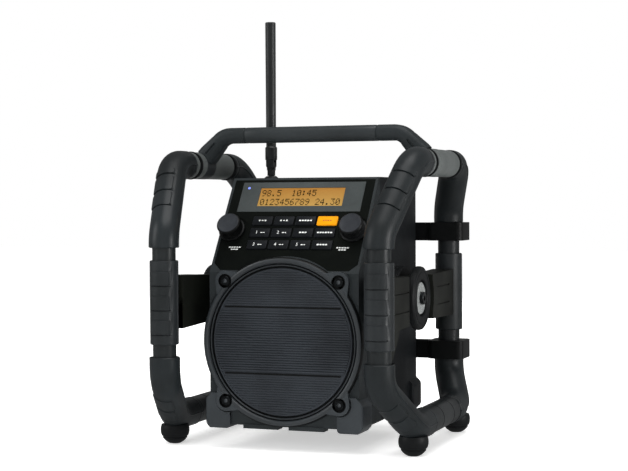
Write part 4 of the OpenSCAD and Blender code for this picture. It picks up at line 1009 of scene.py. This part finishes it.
for node, name, edge, finish, slot, body in (
        ("case_bolts", "case_socket_bolts", 0.4, BLACK_OXIDE, "black_screws", "root"),
        ("battery_door", "ribbed_battery_door", 0.6, REAR_ABS, "case_plastic", "battery_door_body"),
        ("door_screw", "door_thumb_screw", 0.5, BLACK_OXIDE, "black_screws", "door_screw_body"),
        ("jack_cover", "jack_flap", 0.5, BLACK_EPDM, "jack_black", "jack_cover_body"),
        ("aux_jack", "audio_socket", 0.3, JACK_PLASTIC, "jack_black", "root"),
        ("dc_inlet", "power_socket", 0.3, JACK_PLASTIC, "jack_black", "root"),
        ("battery_cells", "wrapped_cells", 0.8, CELL_FILM, "cell_wrap", "root"),
        ("antenna_socket", "antenna_base", 0.4, JACK_PLASTIC, "jack_black", "root"),
        ("antenna_swivel", "antenna_turret", 0.4, JACK_PLASTIC, "jack_black", "antenna_swivel_body")):
    dress(moulded(node, name, edge), finish, body)

whip = moulded("antenna_rod", "antenna_whip", 0.4, segments=3)
edit(whip)
# Above its knuckle the rod is drawn afresh: it swells a little towards the tip, and ends there almost square
radius, height = 6.3, 329.237
choose(lambda p: p.z > (height + 0.2) * MM)
bpy.ops.mesh.delete(type="VERT")
choose(lambda p: p.z > (height - 0.2) * MM)
for next_radius, next_height in ((5.7, 330.0), (6.05, ANTENNA_TIP - 0.7), (5.4, ANTENNA_TIP)):
    go((0, 0, (next_height - height) * MM))
    grow(next_radius / radius, at(ANTENNA_X, ANTENNA_Y, next_height))
    radius, height = next_radius, next_height
bpy.ops.mesh.edge_face_add()
leave()
# The normals it had were worked out for the old shape
bpy.ops.mesh.customdata_custom_splitnormals_clear()
smooth(whip)
dress(whip, ANTENNA_RUBBER, "antenna_rod_body")


# ---------------------------------------------------------------- control panel

dress(moulded("control_fascia", "glossy_fascia", 0.35), PIANO_ABS)
dress(moulded("display_window", "smoked_window", 0.25), SMOKE_ACRYLIC)


def key_cap(width=23.0, height=11.5):
    """A key's cap in panel coordinates, its middle at the origin: straight sides, a rounded rim and a crowned
    top."""
    piece = rounded_plate("key_cap", width, height, 1.2, z=-2.8)
    edit(piece)
    # How far it rises, and how far each side comes in on the way
    for rise, shrink in ((3.6, 0.0), (0.35, 0.1), (0.25, 0.25), (0.12, 0.4)):
        go((0, 0, rise * MM))
        if shrink:
            stretch((1 - 2 * shrink / width, 1 - 2 * shrink / height, 1), (0, 0, 0))
    leave()
    return piece


def mark(name, width, height, x, v, w, thick=0.08):
    """A printed bar, a little raised, in panel coordinates."""
    piece = rounded_plate(name, width, height, min(width, height) * 0.3, z=w, steps=2)
    edit(piece)
    go((0, 0, thick * MM))
    leave()
    piece.data.transform(Matrix.Translation(at(x, v, 0)))
    return piece


def digit(body, size, x, v, w):
    """A printed digit, in panel coordinates."""
    bpy.ops.object.text_add(location=(0, 0, 0))
    piece = bpy.context.object
    piece.data.body = body
    piece.data.size = size * MM
    piece.data.extrude = 0.05 * MM
    piece.data.resolution_u = 3
    piece.data.align_x, piece.data.align_y = "CENTER", "CENTER"
    only(piece)
    bpy.ops.object.convert(target="MESH")
    piece = bpy.context.object
    piece.data.transform(Matrix.Translation(at(x, v, w + 0.05)))
    return piece


def arrow(x, v, w, up):
    """A small printed triangle."""
    piece = primitive("circle", "arrow", vertices=3, radius=1.5 * MM, fill_type="NGON",
                      rotation=(0, 0, 0 if up else math.pi))
    edit(piece)
    go((0, 0, 0.08 * MM))
    leave()
    piece.data.transform(Matrix.Translation(at(x, v, w)))
    return piece


KEY_ROWS = (("key_tune_down", "key_tune_up", "key_source", "key_power"),
            ("key_preset_1", "key_preset_2", "key_info", "key_display"),
            ("key_preset_3", "key_preset_4", "key_preset_5", "key_menu"))
KEY_PITCH_X, KEY_PITCH_V, TOP_ROW_V, KEY_FACE = 25.0, 15.5, 66.15, 1.5
BARS = {"key_source": (2.6, 2.2, 2.4, 2.6, 2.2), "key_power": (2.0, 1.8, 2.2, 2.0),
        "key_info": (2.4, 2.6, 2.2), "key_display": (2.2, 2.4, 2.0, 2.6, 2.2, 2.4),
        "key_menu": (2.6, 2.4, 2.6, 2.2)}


def bars(name, widths, height, gap, x, v, w):
    """A row of printed bars about X, in place of a word."""
    left = x - (sum(widths) + gap * (len(widths) - 1)) / 2
    row = []
    for width in widths:
        row.append(mark(name, width, height, left + width / 2, v, w))
        left += width + gap
    return row


def key_marks(node):
    """What is printed on a key: a digit for a preset, triangles for tuning and a row of bars for the rest."""
    if node.startswith("key_preset"):
        return [digit(node[-1], 5.4, -3.6, 0, KEY_FACE), mark("mark", 2.6, 1.0, 2.2, -0.2, KEY_FACE),
                mark("mark", 1.6, 1.0, 5.0, -0.2, KEY_FACE)]
    if node.startswith("key_tune"):
        up = node == "key_tune_up"
        return [arrow(-3.4, 0, KEY_FACE, up), mark("mark", 2.2, 1.0, 0, 0, KEY_FACE),
                arrow(3.4, 0, KEY_FACE, up)]
    return bars("mark", BARS[node], 1.7, 0.7, 0, 0, KEY_FACE)


cap = key_cap()
for row, names in enumerate(KEY_ROWS):
    for column, node in enumerate(names):
        finish, ink, slot = ((AMBER_CAP, DARK_INK, "key_amber") if node == "key_power"
                             else (KEY_CAP, PRINT_INK, "key_charcoal"))
        piece = copied(cap, node + "_cap")
        piece.data.materials.append(finish)
        print_mesh = joined(key_marks(node), "print")
        print_mesh.data.materials.clear()
        print_mesh.data.materials.append(ink)
        piece = joined([piece, print_mesh], node + "_cap")
        place = at((column - 1.5) * KEY_PITCH_X, TOP_ROW_V - row * KEY_PITCH_V, 0)
        piece.data.transform(ON_PANEL @ Matrix.Translation(place))
        smooth(piece)
        dress(piece, finish, node + "_body", [node])
bpy.data.objects.remove(cap)

KNOB_X, KNOB_V = 70.2, 52.975


def knob(name, x):
    """A knob: a bore for its shaft, a pocket for the bushing, a skirt, a finely fluted side and a dished
    face."""
    piece = turned(name, [(0, 14.5), (3.1, 14.5), (3.1, 4.0), (5.1, 4.0), (5.1, 1.5),
                          (14.0, 1.5), (14.6, 1.9), (14.7, 3.9), (14.2, 4.5), (13.3, 4.7), (13.3, 5.4),
                          (13.3, 14.2), (13.3, 14.9), (12.9, 15.9), (11.9, 16.8), (11.3, 17.0),
                          (10.7, 16.75), (10.2, 16.5), (5.0, 16.4), (0, 16.4)], sides=144)
    edit(piece)
    # Every third line of the side sinks
    choose(lambda p: 5.3 * MM < p.z < 14.4 * MM and p.xy.length > 13 * MM
           and int(math.degrees(math.atan2(p.y, p.x)) / 2.5 + 144.5) % 3 == 0)
    stretch((0.955, 0.955, 1), (0, 0, 0))
    leave()
    piece.data.transform(ON_PANEL @ Matrix.Translation(at(x, KNOB_V, 0)))
    smooth(piece, 40)
    return piece


for use, x in (("volume", -KNOB_X), ("tuning", KNOB_X)):
    piece = knob(use + "_dial", x)
    dress(piece, BLACK_NYLON_AND_PAINTED_SHADE, use + "_knob_body", [use + "_knob"])
    axis = ON_PANEL.to_3x3() @ Vector((0, 0, 1))
    middle = ON_PANEL @ at(x, KNOB_V, 0)
    second_finish(piece, KNOB_CAP,
                  lambda c, n: n.dot(axis) > 0.8 and (c * MM - middle).dot(axis) > 16.3 * MM)

# Labels under the knobs, as two rows of ticks each, and the indicator lamp
labels = []
for x in (-63.0, 61.0):
    for v, widths in ((32.2, (2.4, 2.0, 2.6, 2.2, 2.4)), (29.5, (2.4, 2.2, 2.6))):
        labels += bars("label", widths, 1.3, 0.6, x, v, 0.0)
labels = joined(labels, "panel_ticks")
labels.data.transform(ON_PANEL)
dress(labels, PRINT_INK)
lens = turned("indicator_lens", [(1.5, -0.4), (1.5, 0.1), (1.2, 0.35), (0.6, 0.5), (0, 0.55)], sides=24)
lens.data.transform(ON_PANEL @ Matrix.Translation(at(-63.9, 110.5, 0)))
smooth(lens, 60)
dress(lens, BLUE_LAMP)

# Digits of the display in dots, five across and seven high. Each row is a five-bit number, top row first.
DOT_DIGITS = {"0": "0E 11 13 15 19 11 0E", "1": "04 0C 04 04 04 04 0E", "2": "0E 11 01 02 04 08 1F",
              "3": "1F 02 04 02 01 11 0E", "4": "02 06 0A 12 1F 02 02", "5": "1F 10 1E 01 01 11 0E",
              "6": "06 08 10 1E 11 11 0E", "7": "1F 01 02 04 08 08 08", "8": "0E 11 11 0E 11 11 0E",
              "9": "0E 11 11 0F 01 02 0C", ":": "00 0C 0C 00 0C 0C 00", ".": "00 00 00 00 00 0C 0C",
              " ": "00 " * 7}
dot_w, dot_h, digit_pitch, text_left = 0.95, 1.2, 5.9, -46.6
dot = mark("dot", dot_w, dot_h, 0, 0, -0.5, 0.06)
places = []
for line, foot_v in (("98.5  10:45", 99.6), ("0123456789 24.30", 87.8)):
    for i, letter in enumerate(line):
        for row, bits in enumerate(DOT_DIGITS[letter].split()):
            for column in range(5):
                if int(bits, 16) >> (4 - column) & 1:
                    x, v = text_left + i * digit_pitch + column * dot_w, foot_v + (6.5 - row) * dot_h
                    places.append(Matrix.Translation(at(x, v, 0)))
dots = repeated(dot, "display_dots", places)
dots.data.transform(ON_PANEL)
dress(dots, LCD_INK)


# ---------------------------------------------------------------- speaker

RECESS_R, RECESS_FLOOR, SCREW_HOLE_R = 7.6, 2.9, 2.6


def from_ring_axis(place):
    """How far a place in millimetres is from the speaker's axis."""
    return math.hypot(place.x, place.z - RING_Z)


def from_screw_axis(place):
    """How far a place in millimetres is from the axis of the nearest of the ring's screws."""
    return math.hypot(abs(place.x) - EAR_STEP, abs(place.z - RING_Z) - EAR_STEP)


def plug(name, radius, low, high, x=0.0, z=RING_Z, sides=48):
    """A cylinder along Y, from low to high millimetres forward of the case, to cut or to build with."""
    return primitive("cylinder", name, vertices=sides, radius=radius * MM, depth=(high - low) * MM,
                     location=at(x, CASE_FRONT - (low + high) / 2, z), rotation=(math.pi / 2, 0, 0))


def cut_with(piece, cutter, operation="DIFFERENCE"):
    """Cuts the piece with the cutter, which goes."""
    apply(piece, "BOOLEAN", operation=operation, object=cutter, solver="EXACT")
    bpy.data.objects.remove(cutter)


def ear():
    """One screw plate of the ring, at the upper right: a drop that runs out along the ring, with a deep
    recess."""
    spots = [(EAR_STEP, EAR_STEP, 11.2)]
    for turn in (math.radians(45 - 12), math.radians(45 + 12)):
        spots.append((86 * math.cos(turn), 86 * math.sin(turn), 1.6))
    piece = joined([plug("ear", r, 0.2, 6.0, x, RING_Z + z) for x, z, r in spots], "ear")
    edit(piece)
    bpy.ops.mesh.convex_hull()
    leave()
    apply(piece, "BEVEL", width=0.9 * MM, segments=3, limit_method="ANGLE", angle_limit=math.radians(40))
    # Room for the hoop, the screw's recess, and the screw's hole
    for radius, low, step, sides in ((87.0, -5.0, 0.0, 144), (RECESS_R, RECESS_FLOOR, EAR_STEP, 48),
                                     (SCREW_HOLE_R, -5.0, EAR_STEP, 24)):
        cut_with(piece, plug("cutter", radius, low, 20.0, step, RING_Z + step, sides))
    return piece


# A gap beside the grille, a narrow lip, a groove and a domed band. The gap and the groove are painted black
# further down, as shade
hoop_ring = turned("trim_ring", [
    (79.0, 0.2), (79.0, 0.9), (80.7, 0.9), (80.9, 3.3), (81.4, 4.0), (82.2, 4.0), (82.7, 3.4), (82.9, 2.4),
    (83.5, 2.4), (RING_BAND_IN, 3.8), (84.0, 5.0), (84.8, 6.0), (86.2, 6.5), (87.8, 6.45), (89.2, 5.9),
    (90.1, 5.0), (RING_BAND_OUT, 3.8), (RING_BAND_OUT, 0.2)
], (0, -1, 0), (0, CASE_FRONT, RING_Z), sides=180, closed=True)
for sx, sz in ((1, 1), (1, -1), (-1, -1), (-1, 1)):
    cut_with(hoop_ring, plug("cutter", RECESS_R, RECESS_FLOOR, 20.0, sx * EAR_STEP, RING_Z + sz * EAR_STEP))
quarter_turns = [Matrix.Translation(at(0, 0, RING_Z)) @ Matrix.Rotation(math.radians(90 * i), 4, "Y")
                 @ Matrix.Translation(at(0, 0, -RING_Z)) for i in range(4)]
ring = joined([hoop_ring, repeated(ear(), "ears", quarter_turns)], "speaker_trim_ring")
smooth(ring, 30)
dress(ring, RING_NYLON, nodes=["speaker_ring"])
# Painted shade: black in its gap, groove, recesses and outer flank, where shade falls. Painted light: a
# lighter grey on the flat faces of its screw plates, for the light they catch
PAINTED_SHADE_FACES, PAINTED_LIGHT_FACES = 1, 2
ring.data.materials.append(BLACK_NYLON_AND_PAINTED_SHADE)
ring.data.materials.append(BUMPER_NYLON)
for face in ring.data.polygons:
    corners = [ring.data.vertices[i].co / MM for i in face.vertices]
    radii = [from_ring_axis(corner) for corner in corners]
    spread = max(from_screw_axis(corner) for corner in corners)
    flat = face.normal.y < -0.95
    gap = max(radii) < 80.95
    groove = min(radii) > 82.6 and max(radii) < RING_BAND_IN + 0.05
    recess = spread < RECESS_R + 0.1
    flank = min(radii) > 89.1 and not flat and spread > 13
    # Painted shade on the faces where shade falls
    if gap or groove or recess or flank:
        face.material_index = PAINTED_SHADE_FACES
    # Painted light on the screw plates' front faces
    elif flat and spread < 30 and min(radii) > 86.9:
        face.material_index = PAINTED_LIGHT_FACES

# The grille: a dish behind level louvres, raised in the middle, with a black strip at the step above and
# below the raised middle, painted as the step's shadow. The louvres' pitch, height and foot, and where the
# painted shadow strips take the place of louvres
LOUVRE_PITCH, LOUVRE_H, LOUVRE_FOOT = 2.6, 1.75, 99.6
STEP_FROM, STEP_TO = 33.2, 38.4


def bar_across(name, half, back, front, z, height):
    """A straight bar across the grille, between two distances forward of the radio's middle."""
    piece = primitive("cube", name, size=1)
    piece.data.transform(Matrix.Translation(at(0, -(front + back) / 2, RING_Z + z))
                         @ Matrix.Diagonal((2 * half * MM, (front - back) * MM, height * MM, 1)))
    return piece


dish = turned("grille_dish", [
    (0, 99.0), (75.0, 99.0), (75.0, 82.0), (78.8, 82.0), (78.8, 100.4), (78.2, 101.0), (76.8, 101.0),
    (76.4, 100.2), (0, 100.2)
], (0, -1, 0), (0, 0, RING_Z), sides=144)
slats = []
for i in range(-29, 30):
    z = i * LOUVRE_PITCH
    if not STEP_FROM < abs(z) < STEP_TO:
        front = 101.9 if abs(z) < STEP_TO else 101.1
        reach = math.sqrt(77.0 ** 2 - z ** 2)
        slats.append(bar_across("slat", reach + 2, LOUVRE_FOOT, front, z, LOUVRE_H))
slats = joined(slats, "slats")
edit(slats)
choose(lambda c, n: n.y < -0.9, "FACE")
bpy.ops.mesh.bevel(offset=0.3 * MM, segments=1, affect="EDGES")
leave()
trim = primitive("cylinder", "trim", vertices=144, radius=76.7 * MM, depth=40 * MM,
                 location=at(0, -100, RING_Z), rotation=(math.pi / 2, 0, 0))
cut_with(slats, trim, "INTERSECT")
step_half = math.sqrt(76.2 ** 2 - STEP_TO ** 2)
# Black strips at the two steps: painted shadow
painted_step_shadows = joined([bar_across("painted_step_shadow", step_half, 100.1, 100.9, z, 1.7) for z in (36.9, -34.5)],
                    "painted_step_shadows")
painted_step_shadows.data.materials.append(BLACK_NYLON_AND_PAINTED_SHADE)
for part in (dish, slats):
    part.data.materials.append(GRILLE_PAINT)
grille = joined([dish, slats, painted_step_shadows], "louvred_grille")
smooth(grille)
dress(grille, GRILLE_PAINT, nodes=["speaker_grille"])

ear_screw = socket_screw("ear_screw", 5.2, 3.0, 2.4, 2.0)
ear_shank = turned("ear_shank", [(2.2, -12.0), (2.2, 0.05)], sides=24)
ear_screw = joined([ear_screw, ear_shank], "ear_screw")
ear_screw = repeated(ear_screw, "ring_socket_screws", [
    along_axis((0, -1, 0), (sx * EAR_STEP, -100.0, RING_Z + sz * EAR_STEP))
    for sx in (-1, 1) for sz in (-1, 1)])
smooth(ear_screw)
dress(ear_screw, BLACK_OXIDE, nodes=["ring_screws"])
# The pale grey in the ring screws' sockets is a painted glint
second_finish(ear_screw, SOCKET_GLINT_PAINT, lambda c, n: c.y < -100.2 and from_screw_axis(c) < 2.45)

# From the dust cap's middle out over the cone and its rolled surround, and back behind them to the sleeve of
# the coil
paper_cone = turned("driver_cone", [
    (0, 19.4), (5.0, 19.7), (9.0, 20.4), (12.3, 21.6), (13.2, 21.1), (58.5, 2.3), (60.0, 0.6), (60.6, -1.0),
    (61.8, -2.2), (63.2, -2.6), (64.7, -2.2), (65.9, -1.0), (66.4, 0.0), (68.4, 0.0), (68.4, 0.9),
    (66.0, 0.9), (65.2, -0.3), (64.3, -1.2), (63.2, -1.6), (62.2, -1.2), (61.3, -0.2), (60.7, 1.4),
    (58.5, 3.3), (13.2, 23.0), (13.2, 40.0), (12.3, 40.0), (12.3, 23.0), (0, 21.5)
], (0, 1, 0), (0, CONE_Y, RING_Z))
smooth(paper_cone)
dress(paper_cone, CONE_PAPER, "cone_body", ["speaker_cone"])
second_finish(paper_cone, BLACK_EPDM, lambda c, n: from_ring_axis(c) > 58.6)


# ---------------------------------------------------------------- what stays as the CAD has it

for node, finish in (("lcd_module", LCD_GLOW), ("control_board", BOARD_MASK), ("main_board", BOARD_MASK),
                     ("keypad_mat", MAT_SILICONE), ("speaker_basket", BASKET_STEEL),
                     ("speaker_magnet", FERRITE), ("volume_shaft", SHAFT_STEEL),
                     ("tuning_shaft", SHAFT_STEEL)):
    piece = NODES[node]
    if not piece.material_slots:
        piece.data.materials.append(finish)
    for place in piece.material_slots:
        place.material = finish


# ---------------------------------------------------------------- floor, lights and camera

def pale_floor():
    """Matte backdrop paper: near white, with the faintest mottling."""
    mottle_size = 1 / 3  # metres
    floor = primitive("plane", "paper_floor", size=12)
    made, tree, shader = material("white backdrop paper", Roughness=0.9, Specular_IOR_Level=0.1,
                                  Emission_Strength=0.55)
    place = add(tree, "TexCoord").outputs["Object"]
    mottle = add(tree, "TexNoise", {"Vector": place, "Scale": 1 / mottle_size, "Detail": 3.0})
    colour = add(tree, "Mix", {0: mottle.outputs["Fac"], 6: srgb("#f4f4f3"), 7: srgb("#f8f8f8")},
                 data_type="RGBA")
    tree.links.new(colour.outputs[2], shader.inputs["Base Color"])
    tree.links.new(colour.outputs[2], shader.inputs["Emission Color"])
    floor.data.materials.append(made)
    # The paper lights the radio but isn't mirrored in it
    floor.visible_glossy = False


RADIO_MIDDLE = Vector((0, 0, 0.2))


def softbox(name, place, size, power, mirrored_in_it=True):
    """A rectangular light, aimed at the middle of the radio. One that isn't mirrored leaves no highlight."""
    light = bpy.data.lights.new(name, "AREA")
    light.shape, light.size, light.size_y, light.energy = "RECTANGLE", size[0], size[1], power
    holder = bpy.data.objects.new(name, light)
    bpy.context.collection.objects.link(holder)
    holder.visible_glossy = mirrored_in_it
    holder.location = place
    holder.rotation_euler = (RADIO_MIDDLE - Vector(place)).to_track_quat("-Z", "Y").to_euler()


pale_floor()
softbox("top_softbox", (0.35, -0.3, 1.7), (1.4, 1.0), 12)
softbox("left_softbox", (-1.5, -1.1, 0.9), (0.7, 1.2), 8)
softbox("rear_softbox", (-0.5, 2.0, 1.1), (1.4, 0.8), 21, False)
softbox("front_softbox", (0.5, -2.3, 0.7), (1.6, 1.0), 22, False)
softbox("right_strip", (1.5, -0.2, 0.35), (0.5, 0.5), 8)
# A broad, weak light from above, as through a silk
sky = bpy.data.lights.new("overhead_silk", "SUN")
sky.energy, sky.angle = 1.5, math.radians(70)
sky_holder = bpy.data.objects.new("overhead_silk", sky)
sky_holder.visible_glossy = False
sky_holder.rotation_euler = (math.radians(14), math.radians(-16), 0)
bpy.context.collection.objects.link(sky_holder)
world = bpy.data.worlds.new("pale studio")
world.use_nodes = True
# The backdrop shows white, and lights the radio less than it shows
backdrop = world.node_tree.nodes["Background"]
backdrop.inputs["Color"].default_value = srgb("#ffffff")
seen = add(world.node_tree, "LightPath").outputs["Is Camera Ray"]
level = add(world.node_tree, "MapRange", {"Value": seen, "To Min": 0.2, "To Max": 1.0})
world.node_tree.links.new(level.outputs["Result"], backdrop.inputs["Strength"])
bpy.context.scene.world = world
bpy.context.scene.view_settings.view_transform = "Standard"

# The camera stands in front and to the right, as high as the panel, and looks slightly down
FRAME_WIDTH, FOCAL_LENGTH = 628, 1522.59  # pixels
SENSOR_WIDTH = 36.0
CAMERA_PLACE = (0.58832, -1.60245, 0.26976)
TURNED_LEFT, TILTED_DOWN, ROLLED = math.radians(20.16037), math.radians(1.38871), math.radians(-0.31848)
camera = bpy.data.cameras.new("front_view")
camera.sensor_width, camera.sensor_fit = SENSOR_WIDTH, "HORIZONTAL"
camera.lens = FOCAL_LENGTH / FRAME_WIDTH * SENSOR_WIDTH
camera.clip_start, camera.clip_end = 0.05, 50
holder = bpy.data.objects.new("front_view", camera)
bpy.context.collection.objects.link(holder)
holder.matrix_world = (Matrix.Translation(CAMERA_PLACE) @ Matrix.Rotation(TURNED_LEFT, 4, "Z")
                       @ Matrix.Rotation(math.pi / 2 - TILTED_DOWN, 4, "X") @ Matrix.Rotation(ROLLED, 4, "Z"))
bpy.context.scene.camera = holder
